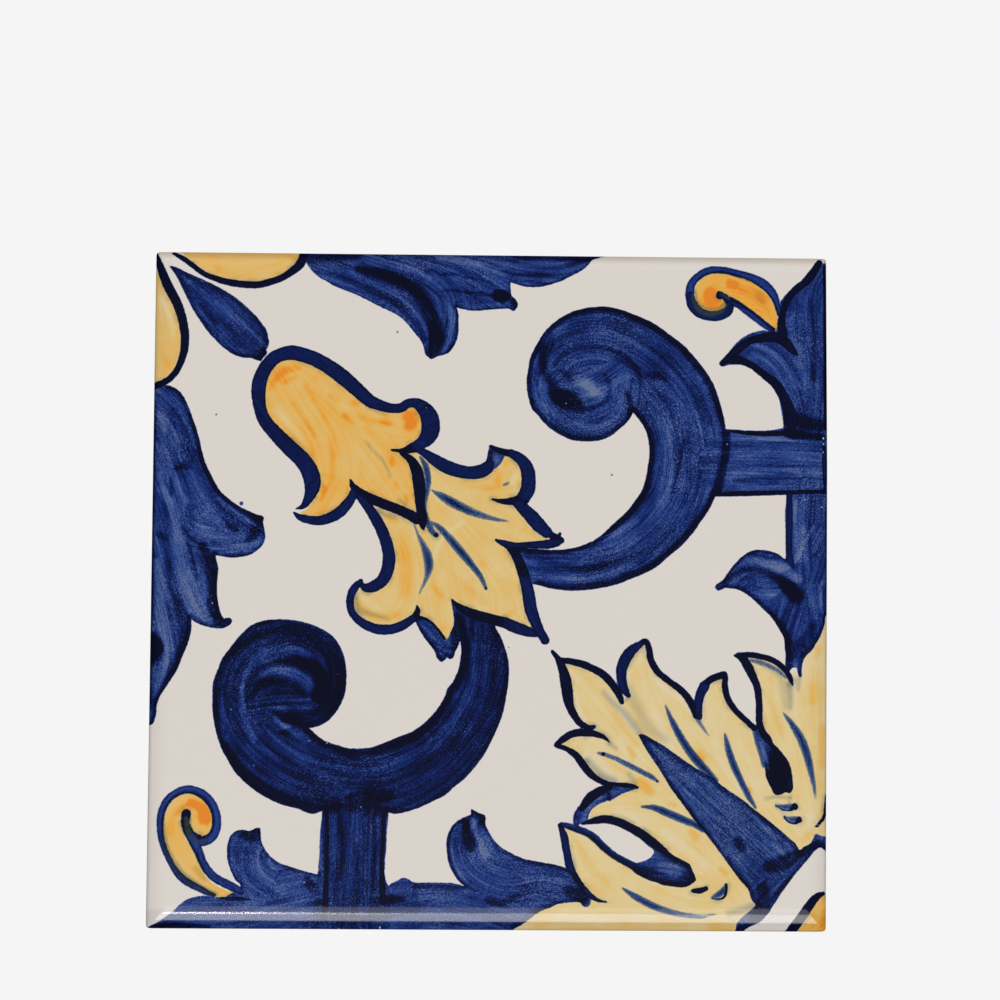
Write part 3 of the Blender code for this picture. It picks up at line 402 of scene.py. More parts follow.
# Soft brush strokes within the blue: x,y,width. Positive groups are darker, negative ones lighter.
# Dark strokes right along the outer edge darken the rolled edge; those at the near left corner are painted
# shade.
TONES = {
    0.6: """
    69.5,68,0.6 69.6,60,0.5 69.6,50,0.6 69.6,34,0.7
    -69.6,-69.7,0.8 -67.4,-69.5,0.9 -65.6,-69.6,0.4
    61.4,32.8,1.6 63,32.4,2.2 65.6,32,1.4 69,31.9,1
    59.2,-34,2 59.4,-37,3.4 60,-40.4,3
    1.3,61,2 2.4,60.8,2.2
    -69.6,-14.4,2.4 -68.9,-12.8,3.2 -69.6,-11.2,2.4
    13.6,40.5,1.6 15,39.5,2.8 16.4,39,1.8
    60.6,1.2,1.6 61.8,0.2,2.4 62.7,-0.8,1.6
    -34.6,-19,1.8 -34.4,-21.6,2
    -42,-27.4,1 -39.4,-28,1.2
    -26,66,1 -22,65,1.6 -18,63.4,1.8 -15,60.8,1.4
    -12.2,55,1.2 -11.8,51.6,2
    """,
    0.12: """
    12,50,2.4 18,54.4,3 26,54.8,3 34,51,3 41,44,2.6 45,35,2.4
    38,13,0.8 34,9,1 28,6,1.4 22,4.6,1.7 16,4.6,1.5 11,5.6,1.5 8,6.6,1.8
    -66,36,2 -63.4,31,2.4 -62,26,2
    """,
    0.34: """
    -66,-69.4,1.4 -62,-69.4,1 -57,-69.6,0.5
    -27.6,66.2,1.5 -23.5,65.1,2.4 -19,63.6,2.8 -15.7,62,3 -13.5,58.8,2.8 -12,55,2.6 -11.3,52,3 \
        -12.4,49,2.4
    1.2,61,1.8 2.6,60.9,1.9
    4.4,59.8,1.2 4.8,58.6,1.3
    -69.6,-14.8,3 -68.8,-12.8,3.4 -69.6,-11,3
    -59.2,8,1.8 -58,5.4,1.8 -57.3,2,1.8 -57,-1,1.8 -57,-4,2.4 -55.6,-7.3,1.8
    -55,13.6,0.7 -53.6,12.2,1 -52.4,11.6,0.8
    -49,14.6,1 -47.8,13,1.8 -48.5,11,2.3 -50,9.6,1
    12.6,42.4,1.6 13.4,40.6,3 15,39.4,4 17,38.6,3.4 18.4,37.4,1.4
    28.2,40.6,1.1 28.8,38.4,1.3 29,36.8,1.4
    -43.5,-15.3,1 -39.5,-15.4,1.9 -35.6,-17,2.4 -34.5,-20,3.4 -35,-22.6,3
    -44,-26.2,1.2 -41.4,-27.3,2 -38.6,-28.2,1.6
    62.6,36,3 65,34.8,3.2 68.4,34.4,2.4
    57.4,-56.8,2.6 60.4,-56,3 63.4,-54.2,1.8 67.2,-51.6,1.4
    56,-61.4,2.6 56,-64.4,2.4 54,-67,2
    50.8,-51.6,1.6 51.6,-53,1.8
    48.6,1.4,1.2 50,3,0.9 52.4,4.2,0.9 55.4,4,1.2 58.4,2.9,1.5 61.2,0.8,2.8 63,-1.2,3.4
    -50.4,-51,1.2 -48.6,-51.2,2.4 -47.2,-50.4,1.6
    -5.2,-47.9,1.2 -4.7,-50,1.7 -4,-52.4,2.6 -3.6,-53.6,1.4
    -2.2,-46.8,1.2 -1.6,-47.8,1.8
    -20,-64,2 -17.6,-64,1.2
    16.4,-62,2 19.4,-63,2.4
    58.6,-33.6,3.4 59.4,-37,4.4 59.2,-40.2,3.4
    -47.8,47.4,1.2 -47.2,48.2,1.4
    -37,-60.2,1.6 -35.9,-61.8,2.2
    """,
    0.22: """
    -32.4,65,0.6 -28,63,0.9 -23.5,61,1 -19.5,58.6,1 -16,55.3,1.2 -13.8,51.5,1.2
    -39,68.4,2 -34,68.8,2 -28,69.4,2
    -10,62,0.5 -4,61.5,0.6 0,61,0.8
    -14,66,0.5 -6,65,0.6 0,63.5,0.5
    -2,67.6,0.5 2,66,0.7 6,65.4,0.8 10,65.3,0.7 14,65.8,0.5
    5,69.6,1 12,69.4,1.2 18,69.2,1.8 20.8,69,1.2
    -60.4,58.4,0.7 -58.8,56.6,1.2 -57,54.6,0.9
    -61.5,35,1.8 -60.2,30,1.8 -59,25.5,2 -56.8,21,2.2 -54,18,1.8 -50.5,15.8,1.8 -48,14,1.8
    -64.8,24.3,1 -63.2,24.6,1.6 -62,24.2,0.8
    -66.2,22.5,0.4 -65.8,20,1 -66,18.5,0.6
    -69.4,11,0.8 -67.6,10.2,1.5 -66.6,9.6,0.9
    -63,12,0.5 -61.5,9.5,0.5 -59,8.2,0.7
    -62.4,9,0.4 -61,4,0.5 -60.4,1,0.5
    -66.2,5,0.6 -66,0,0.8 -64.6,-3,1.4 -63.4,-6,2.2 -62.6,-10,1.8 -64,-15,1.4 -66.4,-20,1.2 \
        -68.3,-24.5,1.4
    13,46.5,1 15.5,49.3,1.3 18.8,50.5,1.5 23,50.4,1.2 27,48.8,1.1 30,46,1 31,43,0.8
    10.6,50,1.6 10.6,46.6,1.6 11.6,43.6,1.8
    14.5,45.5,0.8 16,44,1.3
    19,37.3,0.8 22,38,1 24.3,40,0.9 24.5,42.5,0.7 23.4,44.6,0.5
    33,44.6,1.4 35,44.4,1.5 36.5,43.6,0.9
    -54.4,-15.4,0.8 -51,-12,1.4 -46,-9.6,1.9 -41,-9,1.9 -36,-10.6,2.2 -32.8,-14,2.6 -31.4,-19,2.6 \
        -32.8,-24,2.6 -36.6,-26.6,2.6 -40.6,-26.2,2.2
    -49.8,-23.5,1.4 -48.5,-21,2.2 -45,-19.8,1.5 -41,-20.4,1 -38,-22.5,1
    -54,-33,1.6 -50.5,-38.4,2.4 -44,-42.4,2.4 -38,-44.4,2.2 -31,-44.6,1.8
    50.5,22.6,0.6 54,22.6,1.2 57,22.5,1.6 59.4,22.3,0.5
    66.6,60,1 67,52,1.2 67,44,1.2
    65.6,16,0.4 66,10,0.7 65.6,5,0.6
    -15.4,-61.3,0.9 -10,-61.5,1.3 -6,-61.8,1
    0,-64,1.6 3,-64.6,1.4 6,-63,0.8
    40,31,0.8 38.8,25,0.6 37.5,20,0.6
    58,-6,2 60.4,-9,2.2 62.2,-13,3.4 65,-10.6,2.6 66.8,-7,1.4
    -69.7,38,0.8 -69.7,20,0.8 -69.7,0,0.8 -69.7,-24,0.8
    69.8,66,0.7 69.8,50,0.7 69.8,36,0.7
    69.8,16,0.7 69.8,6,0.8 69.8,-3,0.7
    30,-58.2,1 34,-58.8,2 38,-60,1.8 41,-59.6,1.6
    33.6,-52.4,1.4 37,-55,1.4 40.4,-57,1.2
    -30.4,-47,0.6 -30,-54,0.9 -30.4,-60,0.6
    -29,-43.6,1.6 -25,-43,3 -20.6,-42.8,2
    -23.6,-47,0.8 -23.4,-54,0.8 -23.4,-62,0.8
    """,
    -0.3: """
    19,42.6,1.2 20.4,42,1.8 21.4,40.8,1
    55.6,-31.6,0.6 56.6,-34.4,1 57.2,-37,0.6
    """,
    -0.2: """
    -10,60,0.8 -8.6,57.5,1.5 -8.1,54.5,1.6 -8.6,51.5,1.3 -9.8,49.4,0.7
    -11,69,1.2 -6,68.4,1.6 -1,67.2,1.2 2,65.6,0.8
    -68,20,1.5 -65.5,16,2.3 -64.5,10,2.6 -63,4,2.8 -62,-1,3.2 -59.8,-5.5,3.4 -57.8,-7.3,1.6
    -68.8,5,1.4 -68,0,1.8 -67.6,-5,2.6 -67.2,-9,2.6 -66,-13,2 -67.4,-18,1.4 -68.6,-23,0.8
    -64.9,23,0.5 -64,20,0.7 -62.5,17,0.6
    18.3,43,2.2 20.3,41.8,3.4 22,40.6,1.8
    -47,-18,1 -44.6,-17.3,1.6 -41.8,-17.6,2 -39,-18.9,2.2 -36.9,-20.8,1.6
    -50.2,-18.6,1 -49,-16.2,1.3 -47,-14.2,1.5 -44.4,-13,1.7 -41.6,-12.6,1.7 -39.2,-13.1,1.2 \
        -37,-14.2,0.5
    -50.6,-20,1 -50.8,-24,1.3 -50,-28,1.6 -48.2,-31.4,1.4
    -46.8,-32.9,0.4 -45,-34.4,0.9 -42.8,-35.9,0.5
    -44.4,-26.3,0.4 -42.6,-28.2,0.8 -40,-30.4,0.7 -37.5,-32.5,0.3
    -46.2,-24.7,0.3 -44,-24.9,0.4 -41.8,-24.9,0.3
    -44,-26.8,0.9 -42.3,-28.4,1.6 -39.8,-29.7,1.5 -37,-31.6,1
    -18.8,-45.5,0.3 -15,-44.7,0.6 -12,-43.2,0.3
    55,31.5,0.5 60,31.4,1 66,31.3,0.5
    52.6,6.2,0.9 56.5,5.8,1.8 60,4.6,1.9 63.5,2.2,1.4
    68.5,2,0.6 68.2,-4,0.7
    63,18,1.6 63.8,12,2.4 64,6.5,2.2
    -3.3,-47.4,0.7 -2.5,-51,1 -0.5,-55,1.4
    40,-41.4,0.3 44.5,-44.8,0.5 48,-48,0.6 50.6,-51,0.3
    56,-51.4,0.3 58,-52.6,0.6 60.2,-54.2,0.3
    35.4,-57.2,2.4 38.2,-57.8,2.6
    22.8,-43,0.8 21,-44.2,1 19.6,-46.2,1.3 19.4,-47.6,1.3
    27,-41.6,0.5 24.8,-42.4,0.7
    1,27.2,1 1.3,26.4,1.2
    -34.3,-47,0.8 -34.3,-53,0.8 -34.3,-58,0.8
    11.6,36.6,0.5 9.6,40,0.6 9.6,43.6,0.5
    """,
    -0.11: """
    -35,64.4,0.8 -30,62.4,1 -25,60.2,1.1 -20.5,58,1.1 -17,54.8,0.8
    -26,65.2,0.6 -21,62.6,1.3 -18,59.6,1.4 -15.6,56.4,1
    6,63.7,1 9,63.5,1.1 13,64.3,0.9
    6,67.6,1.4 10,67.5,1.6 15,67.6,1
    -5,58.6,1 0,58.8,1.1 3,59,0.8
    -3,64.4,1.5 1,63.6,1.6 3,62.4,1.2
    -60,61.3,1 -56.6,58.6,1.8 -53,55.6,2 -50,52.6,1.4
    -57.6,52,0.6 -54,49.4,0.9 -50,48.4,0.8
    -68.5,29,1.5 -66.5,26.5,1.8 -65.6,24.5,1
    -59,15,1.2 -56,12.9,1.6 -53.5,13.6,1.2 -50,13.3,1
    -60,12,1.8 -56,9.8,1.8 -51,8,1.6 -48.4,8.6,1.2
    -68.4,36,1.4 -67.4,32,1.2
    31,43.4,0.8 35,42.2,1.4 38.4,39.6,1.6 40.6,35.6,1
    36,30,2.8 36.3,24,2.8 35,18,2.2
    10.2,44,0.8 10.4,40,0.9 13,36.4,1 16.4,34.4,1 22,33.6,1.2 26,36.5,1.7 26.8,39.6,1.4
    20,48.4,1.5 25,48,1.3
    30,14,1.4 24,10.4,1.2 18,7.9,1.1 13,7.2,0.9
    12,2.6,1 20,1.9,1.2 30,4.6,1
    -54.8,-23,0.8 -54.4,-29,1.2 -52.4,-33,1.6
    -45,-30,1.2 -42,-33,1.6 -38.5,-36,1.6 -34,-38.4,1.4
    -31,-36.4,1.6 -27,-37.4,3 -22,-37,2.4 -17,-35.2,2 -11,-31,1.8 -5.8,-25,1.8 -3.5,-19,1.5 -3.4,-12,1.2
    -1.5,-12,0.9 -0.8,-18,1 -1.8,-24,1 -5,-30,1
    -31.4,-47,1.6 -31.4,-52,1.8 -31.6,-58,1.3
    -27.6,-47,1 -27.4,-52,0.9
    -25.7,-54,0.8 -25.6,-59.4,0.9
    62.2,57.4,1.4 62,54,1.6 63.6,50,1.4
    55,51,0.9 58.4,49.2,1.9 61,46,2.2 63.6,42.4,1.6
    65.4,1,1.2 66.4,-3,1
    55.6,1.4,1.8 58,-1,1.6
    -52.2,-56,1 -50.4,-60,1.4 -48,-63,1.4
    -48,-56,1.5 -46,-60,1.9 -42,-62.4,1.8
    -7.7,-53,1 -6.8,-56.6,1 -5,-60,1
    8,-59.6,1.6 12,-60.2,1.5 15,-59.6,1
    50,27.4,0.6 58,28,0.7 66,27.4,0.6
    50,24.4,0.6 56,25.2,0.7 64,24.6,0.6
    57,57,0.5
    61.2,-41,1 61.4,-38.6,0.8
    """,
}

# Rims of pooled pigment just inside a shape's outline: shape, start, end,
# width at the start, middle and end, strength
RIMS = (
    ("right_scroll", (7.5, 38.5), (30, 57), 0.8, 1.0, 1.4, 0.34),
    ("right_scroll", (30, 57), (48, 36), 1.4, 1.5, 1.2, 0.34),
    ("right_scroll", (48, 36), (46.4, 19.3), 1.0, 0.8, 1.0, 0.34),
    ("right_scroll", (46.4, 19.3), (9.9, 0.6), 1.2, 1.5, 1.0, 0.34),
    ("right_scroll", (5, 8.5), (29.4, 36.7), 0.8, 1.3, 1.1, 0.34),
    ("right_scroll", (28.9, 35.8), (7.5, 38.5), 0.9, 1.0, 0.9, 0.34),
    ("left_scroll", (-56.8, -26), (-37, -29.2), 1.1, 1.1, 1.1, 0.16),
    ("left_scroll", (-37, -29.2), (-7, -7), 1.1, 1.9, 1.7, 0.24),
    ("left_scroll", (1.1, -8.2), (-56.8, -26), 1.0, 1.0, 1.1, 0.14),
    ("pointed_leaf", (-67.2, 66.7), (-47.7, 46.7), 1.0, 1.0, 1.0, 0.16),
    ("pointed_leaf", (-47.7, 46.7), (-67.2, 66.7), 0.5, 0.7, 1.0, 0.14),
    ("top_leaves", (-36.6, 65), (-7.4, 58.4), 0.2, 0.3, 0.5, 0.18),
    ("top_leaves", (-7.4, 58.4), (22.4, 69.4), 0.3, 0.3, 0.5, 0.18),
    ("left_leaves", (-66.6, 41.4), (-46.7, 14.1), 0.9, 0.9, 1.0, 0.24),
    ("left_leaves", (-46.7, 14.1), (-56.7, 6.3), 0.6, 0.5, 0.6, 0.2),
    ("left_leaves", (-56.7, 6.3), (-69.1, -28.5), 0.8, 0.9, 1.0, 0.24),
    ("spike", (30.5, -30.1), (63.6, -53.6), 0.9, 0.9, 1.1, 0.24),
    ("spike", (54.6, -64.7), (30.5, -30.1), 1.0, 0.7, 1.0, 0.24),
    ("spike", (69.2, -53.6), (51.5, -70.5), 1.2, 1.0, 1.3, 0.3),
    ("lower_right_leaves", (60.9, 6.1), (48.3, 0.35), 0.4, 0.5, 0.8, 0.22),
    ("lower_right_leaves", (48.3, 0.35), (61.6, -17), 0.5, 1.0, 1.4, 0.26),
    ("lower_right_leaves", (64.1, -18.1), (69.5, -5), 1.2, 0.8, 0.5, 0.26),
    ("left_hump", (-50.5, -61.5), (-35, -59), 0.5, 0.4, 0.7, 0.18),
    ("right_hump", (-5, -61.2), (17, -57.8), 0.5, 0.6, 0.8, 0.2),
    ("right_hump", (19, -64.9), (5.4, -69.7), 0.8, 0.7, 1.0, 0.22),
    ("upper_teardrop", (56.4, -36.2), (57.3, -30.6), 0.7, 0.7, 0.7, 0.3),
    ("lower_teardrop", (32.5, -50.6), (29.5, -58), 0.8, 0.9, 0.9, 0.3),
    ("centre_point", (-15.4, -7), (-6.4, -11.7), 0.5, 0.9, 0.5, 0.26),
)

# Orange dabs and streaks within the yellow
DABS = {
    0.34: """
    -16.9,35.3,3 -16.7,33.8,2.8
    46,60.4,2.6 45.4,61.6,2.4
    49.6,64,1.6 50.6,63.8,1.4
    -60.6,-44.6,1.8 -58.6,-45.6,2.4 -58,-47.6,2.8
    """,
    0.28: """
    28.6,-33,1.2 29.4,-34.4,1.4
    30.8,-39.8,1.8 32.2,-41,1.9 33.2,-42,1.2
    43.2,-33.8,1.2 43.8,-34.8,1.2
    41.4,-49.8,1.4 42.2,-50.9,1.6
    47.4,-57.4,1 48.4,-58.2,1
    53.3,-41,0.8 53.7,-41.6,0.8
    """,
    0.17: """
    -46,41,1 -44.6,43,1.6 -42.6,44.8,2 -40,45.4,1.4
    -42.6,42.4,1.2 -40.6,43.4,1
    -33.4,39.8,1.2 -31.8,38.6,1.4
    -28.6,38.3,1.3 -28,38.1,1.3
    -22.2,34.7,1.8 -21.4,34.3,1.8
    -18,11,2 -17.4,4,3 -17.6,-1,2.4
    -27,-3.6,1.6 -24,-6,1.8 -19,-6,1.6
    -30.4,35.6,0.8 -28.6,34,1
    -20.6,26.2,1.2 -20.5,25.4,1.2
    -19.6,21.4,1 -19.4,20.7,1
    -17.6,18.8,1 -17.3,18,1
    -34.4,20.4,1.4 -35,18,1
    -21,14.4,1.2 -19.4,13.4,1.4
    1.2,24.2,1.2 1.6,22,1.8
    3.2,26.6,1 3,25.6,1
    7,12.2,1.2 9,11,1
    -2,5,1.2 -1.4,4.6,1.2
    3.8,-5.4,1 4.6,-5,1
    -10.2,-9.4,1 -9.6,-8.4,1.2
    -12,0.6,0.8 -10,-2,1.4
    36.2,-28.6,0.8 36.8,-29.4,0.8
    37.2,-44.2,1 38,-44.6,1
    53.2,-41,0.7 53.6,-41.6,0.7
    46,-69,2 49,-69.4,2
    64.6,-51.2,1.6 66,-50,1.4
    68.4,-45.4,1 67.6,-47,0.8
    67.8,-12,1.6 67.2,-14,1.2
    66.2,-20,1.2 66.4,-23,1.2
    68.4,-28,1.4 68.4,-36,1.2
    -65.6,-53.4,1.2 -64.8,-54.6,1
    -41.4,68.4,1.4 -42.2,69.4,1.4
    68.4,-69,1.6 68.8,-66,1.4
    """,
    0.1: """
    -38.6,41.5,1.2 -36,37.5,1.4 -33.5,33,1.5 -32.6,28,1.5 -33.2,23,1.4 -34.4,19.6,1.2
    -41,38,1 -38.5,34.5,1.2 -36.6,31,1
    -30,36,1.2 -25,34.4,1.3 -20,34,1.2
    -66,44.6,1 -67.4,46.5,1.4 -68.4,50,1.2
    -57,66,1.2 -54,64.8,1.3 -50,64.4,1.2
    -8,3,1.4 -5,0,1.6 -1,-3,1.6
    -6,21.6,1.2 0,20.6,1.2 4,21,1
    19,-17.6,1 22,-21,1.4 26,-26.4,1.4 30,-32,1.4
    24,-35,1 28,-37.8,1.2
    58,-18,1.2 58,-24,1.4 60,-30,1.2
    67,-16,1.6 67.4,-24,2 67.8,-34,2 67.4,-42,1.6
    18,-52,1.2 20,-56,1.4 24,-60,1.4
    10,-69,2 24,-69.4,2 40,-69.4,2
    57,60.6,1.8 55,62.4,1.6 52,63.2,1.4
    -61,-44.6,1.4 -64.4,-47,1.2 -65,-51,1.2
    """,
    -0.42: """
    19.8,-34.2,0.6 22,-37,1.2 24.6,-38.8,1.2 26.6,-39.5,0.6
    17.6,-22,0.4 18.2,-25,0.7 19.8,-27.8,0.5
    24,-21.4,0.4 27.2,-25.2,1 30,-29,1
    33.4,-17.9,0.3 35.3,-20,0.6 39.2,-22.8,0.6 41.8,-25.8,0.3
    28.5,-16.6,0.4 28.4,-19.6,0.6 29.2,-21.8,0.4
    43.9,-24,0.5 44.6,-21,0.6
    62.9,-17.6,0.8 62.9,-19,0.6
    """,
    -0.14: """
    -44.8,36.6,1 -42.4,34.2,1.2 -39.4,31,1
    -35.5,42.4,1.2 -31,38,1.4 -27,34,1.4
    -68.6,60,1 -66.6,56,1.2 -66,52,1
    -12,5,1.2 -10,10,1 -6,13.4,1
    4.4,21.8,1.2 5.2,23.6,1
    26.6,-31.4,1.4 28.4,-34.6,1
    46,-31,1.6 48,-36,1.6 51,-41,1.4
    34,-26,1.6 38,-34,1.6
    62.6,-21,1 62.6,-25,1 64,-28,0.8
    36,-50,1.4 40,-53,1.6 44,-56.4,1.6
    20,-33,1 23,-36,1.4 25,-38,1
    30,-47,1.2 26,-45.6,1.4
    66,-46.6,1.4 65,-49,1.2
    59,-43.4,1.4 61,-45.8,1
    """,
}

# The way the brush ran through the paint: x,y along each pass
GUIDES = """
    -67,66.5 -60,60 -54,54 -47.5,47.5
    -40,69.5 -30,66 -22,63 -16,59 -13,54 -12.5,48
    -24,69 -14,65.5 -8.6,60.5 -8.4,54 -10,49
    -20,70.5 -8,66.5 0,62 4.5,59
    -5,70 8,66.6 15,66.4 24,69.5
    -69,40 -65,36 -62,30 -59,23 -55,17 -49,12.5
    -69,28 -66,20 -63,11 -57,8.8 -49,9.5
    -68,22 -64.5,12 -62,2 -58,-6 -54,-7.5
    -69.5,0 -67,-8 -66,-16 -69,-27
    5,4.3 12,3.8 20,3.9 28,6.6 34,11.2 38.5,17 40.7,23.5 40.8,31 38.5,38 34,43.6 28.5,47.8 22,50 16,48.6 \
        12,44.5
    28,41 27,36 22,33 17,33.2 12.4,36.4 10,42 11.6,47.6
    26.5,45.4 22.4,42.6 17.6,40.4 13,40
    -1,-5 -1,-14 -2.5,-22 -7,-30 -14,-36.5 -23,-40 -32,-39.5 -41,-36.5 -48,-31 -51.8,-24 -51,-17.5 \
        -46.6,-12.5
    -46.6,-12.5 -40,-10.6 -34,-13.6 -32.2,-20 -34.6,-25.6 -40,-27.6
    -49.4,-22 -46.4,-18.4 -42,-17.2 -38,-18.8 -35.2,-22.4
    -49,-25.4 -44,-24.6 -38,-24.4
    45,26.5 70,26.5
    -27.5,-45 -28,-70
    66,35 66.8,45 65,55 66,64 69.5,70
    65,35 63,42 59,48.5 54,50.6 48,47
    65.5,20 65,8 66,-2 67,-10
    66,12 62,5.4 57,4.4 52,5.5 47,0.5
    67,6 64.6,-2 62,-10 61.5,-17
    -70,-69 -60,-66.5 -52,-66 -44,-64 -36,-62
    -48,-50 -50.5,-54 -49.5,-60 -44,-64
    -21,-66 -10,-64.5 0,-66 8,-69
    -2.5,-46.5 -5.5,-52 -4,-57.5 3,-61.5 12,-60.5 19,-63.5
    31,-30.5 46,-45 60,-58
    67,-52 62,-58 56,-64 51,-70
    60.4,-42 58.6,-36 55,-29
    42,-58.5 36,-57 29,-57
    -13,-10 -10,-12.5 -8,-13
    -65,70 -52,66.5 -40,70
    -70,66 -66.5,54 -70,43
    -43,45 -39,38 -34,30 -33,22 -37,15
    -41,45.6 -33,39 -24,30 -15.5,17
    -34,43.6 -26,36.4 -18,34 -14,36
    -24,17 -18.5,8 -17.5,-2 -22,-7 -27,-3
    -14,20 -12,8 -10,-3 -9,-10
    -14,22 -4,12 4,2 8,-7
    -13,22 -2,17 6,13 13,10
    -14,26 -6,21 2,21 5,25
    14,-15 22,-22 32,-34 44,-48
    31,-12 33,-22 44,-37 56,-49
    47,-18 50,-30 56,-42 64,-52
    53,-14 60,-24 64,-38 66,-50
    69,-8 69.5,-30 68.5,-46
    15,-32 25,-36 36,-44 48,-58
    19,-47.5 30,-46 42,-54 50,-62
    16,-50 22,-57 34,-63 50,-67
    6,-70 25,-68.5 50,-69
    59.8,55 57,60.5 50.5,63.6 45,62.4 44,60 46.5,59.4
    -53,-63 -59,-59 -63.4,-54 -64.4,-48 -61.5,-44.6 -58.6,-46.6 -58.6,-49.6
    63,-71 70,-66
"""

# Specks in the white: x, y, radius, depth. Light pinholes in the blue: x, y, radius.
SPECKS = (
    (-51.4, 17.0, 0.42, 0.55), (-56.8, 35.5, 0.22, 0.3), (-19.6, 53.1, 0.22, 0.4),
    (25.0, 23.6, 0.22, 0.22), (3.8, -12.3, 0.14, 0.3), (-8.4, 18.4, 0.1, 0.2), (-11.3, 10.8, 0.5, 1.0),
    (-0.9, -0.1, 0.3, 0.95), (23.3, -34.1, 0.45, 0.95), (62.6, -44.6, 0.72, 1.0),
    (63.5, -47.3, 0.66, 1.0), (-4.4, 8.0, 0.1, 0.2), (-61.9, -46.9, 0.95, 1.0), (34.3, -39.5, 0.3, 0.85),
    (47.4, 61.4, 0.8, 1.0), (-59.2, -51.6, 0.7, 0.95),
)
PINHOLES = (
    (-13.5, 37.3, 0.16), (15.5, 38.4, 0.12), (16.4, 39.3, 0.12), (61.7, -55.3, 0.14), (48.9, 30.2, 0.14),
    (69.0, 31.8, 0.26), (69.1, 30.6, 0.2), (69.0, 28.9, 0.22), (-33.3, -32.2, 0.18), (-26.3, -45.2, 0.16),
    (-53, -25.5, 0.14), (-36.9, -31.8, 0.12), (-57.3, -2.1, 0.14), (-57.1, -3.7, 0.14),
    (-48.6, 12.6, 0.12), (24.6, 50.7, 0.12), (65, 18.8, 0.16), (68.5, 17.4, 0.2), (-37.6, -60.6, 0.14),
    (-22.1, -69.6, 0.2), (-22.2, -70, 0.22), (-34.4, -70, 0.2), (-30.5, -70, 0.2), (-31.2, -18.1, 0.14),
    (-37.4, -11.6, 0.12), (-38.3, -10.8, 0.12), (-48.2, -36.9, 0.14),
)


OUTLINE_STEPS = 5
STROKE_STEPS = 4
GUIDE_STEPS = 5


def numbers(word):
    return tuple(float(n) for n in word.split(","))


def number_rows(text):
    """One list of number tuples for each line of a text of comma-separated points."""
    return [[numbers(word) for word in line.split()] for line in text.splitlines() if line.strip()]


def through(points, steps):
    """A centripetal Catmull-Rom curve through the points, with a number of steps between each two."""
    p = np.array(points, float)
    if len(p) < 3:
        t = np.linspace(0, 1, steps + 1)[:, None]
        return p[0] + (p[-1] - p[0]) * t
    p = np.vstack([2 * p[0] - p[1], p, 2 * p[-1] - p[-2]])
    gap = np.maximum(np.hypot(*(p[1:, :2] - p[:-1, :2]).T), 1e-6) ** 0.5
    knot = np.concatenate([[0], np.cumsum(gap)])
    parts = []
    for i in range(1, len(p) - 2):
        k0, k1, k2, k3 = knot[i - 1:i + 3]
        last = i == len(p) - 3
        t = np.linspace(k1, k2, steps + 1)[: None if last else -1, None]
        a1 = (k1 - t) / (k1 - k0) * p[i - 1] + (t - k0) / (k1 - k0) * p[i]
        a2 = (k2 - t) / (k2 - k1) * p[i] + (t - k1) / (k2 - k1) * p[i + 1]
        a3 = (k3 - t) / (k3 - k2) * p[i + 1] + (t - k2) / (k3 - k2) * p[i + 2]
        b1 = (k2 - t) / (k2 - k0) * a1 + (t - k0) / (k2 - k0) * a2
        b2 = (k3 - t) / (k3 - k1) * a2 + (t - k1) / (k3 - k1) * a3
        parts.append((k2 - t) / (k2 - k1) * b1 + (t - k1) / (k2 - k1) * b2)
    return np.vstack(parts)


def outline_of(text):
    """The closed polygon of a shape: smooth stretches that meet at the corners that the bars mark."""
    words = text.split()
    first = numbers(words[0])
    stretches, now = [], []
    for word in words:
        if word == "|":
            stretches.append(now)
            now = [now[-1]]
        else:
            now.append(numbers(word))
    if len(now) > 1:
        stretches.append(now)
    if stretches[-1][-1] != first:
        stretches.append([stretches[-1][-1], first])
    rings = [through(stretch, OUTLINE_STEPS)[:-1] for stretch in stretches if len(stretch) > 1]
    return np.vstack(rings)


SEGMENTS_AT_ONCE = 16


def signed_distance(points, ring):
    """Distance from each point to a closed ring, negative inside it."""
    a = ring
    b = np.roll(ring, -1, axis=0)
    keep = np.hypot(*(b - a).T) > 1e-9
    a, b = a[keep], b[keep]
    ab = b - a
    length = (ab ** 2).sum(1)
    best = np.full(len(points), np.inf)
    inside = np.zeros(len(points), bool)
    for start in range(0, len(a), SEGMENTS_AT_ONCE):
        aa, bb, dd, ll = (v[start:start + SEGMENTS_AT_ONCE] for v in (a, b, ab, length))
        rel = points[:, None] - aa[None]
        t = np.clip((rel * dd).sum(-1) / ll, 0, 1)
        near = ((rel - t[..., None] * dd) ** 2).sum(-1)
        best = np.minimum(best, near.min(1))
        x, y = points[:, None, 0], points[:, None, 1]
        above = (aa[None, :, 1] > y) != (bb[None, :, 1] > y)
        rise = np.where(dd[:, 1] == 0, 1, dd[:, 1])
        cross = x < aa[None, :, 0] + (y - aa[None, :, 1]) / rise * dd[None, :, 0]
        inside ^= ((above & cross).sum(1) % 2).astype(bool)
    return np.where(inside, -1, 1) * np.sqrt(best)


def stroke_distance(points, path):
    """Distance from each point to a stroke's edge, negative inside, and its place along and across it."""
    best = np.full(len(points), np.inf)
    along = np.zeros(len(points))
    across = np.zeros(len(points))
    run = 0.0
    for (ax, ay, aw), (bx, by, bw) in zip(path[:-1], path[1:]):
        dx, dy = bx - ax, by - ay
        length = math.hypot(dx, dy)
        if length < 1e-9:
            continue
        rx, ry = points[:, 0] - ax, points[:, 1] - ay
        t = np.clip((rx * dx + ry * dy) / length ** 2, 0, 1)
        gap = np.hypot(rx - t * dx, ry - t * dy)
        edge = gap - (aw + (bw - aw) * t) / 2
        nearer = edge < best
        side = (dx * ry - dy * rx) / length
        best = np.where(nearer, edge, best)
        along = np.where(nearer, run + t * length, along)
        across = np.where(nearer, np.sign(side) * gap, across)
        run += length
    return best, along, across


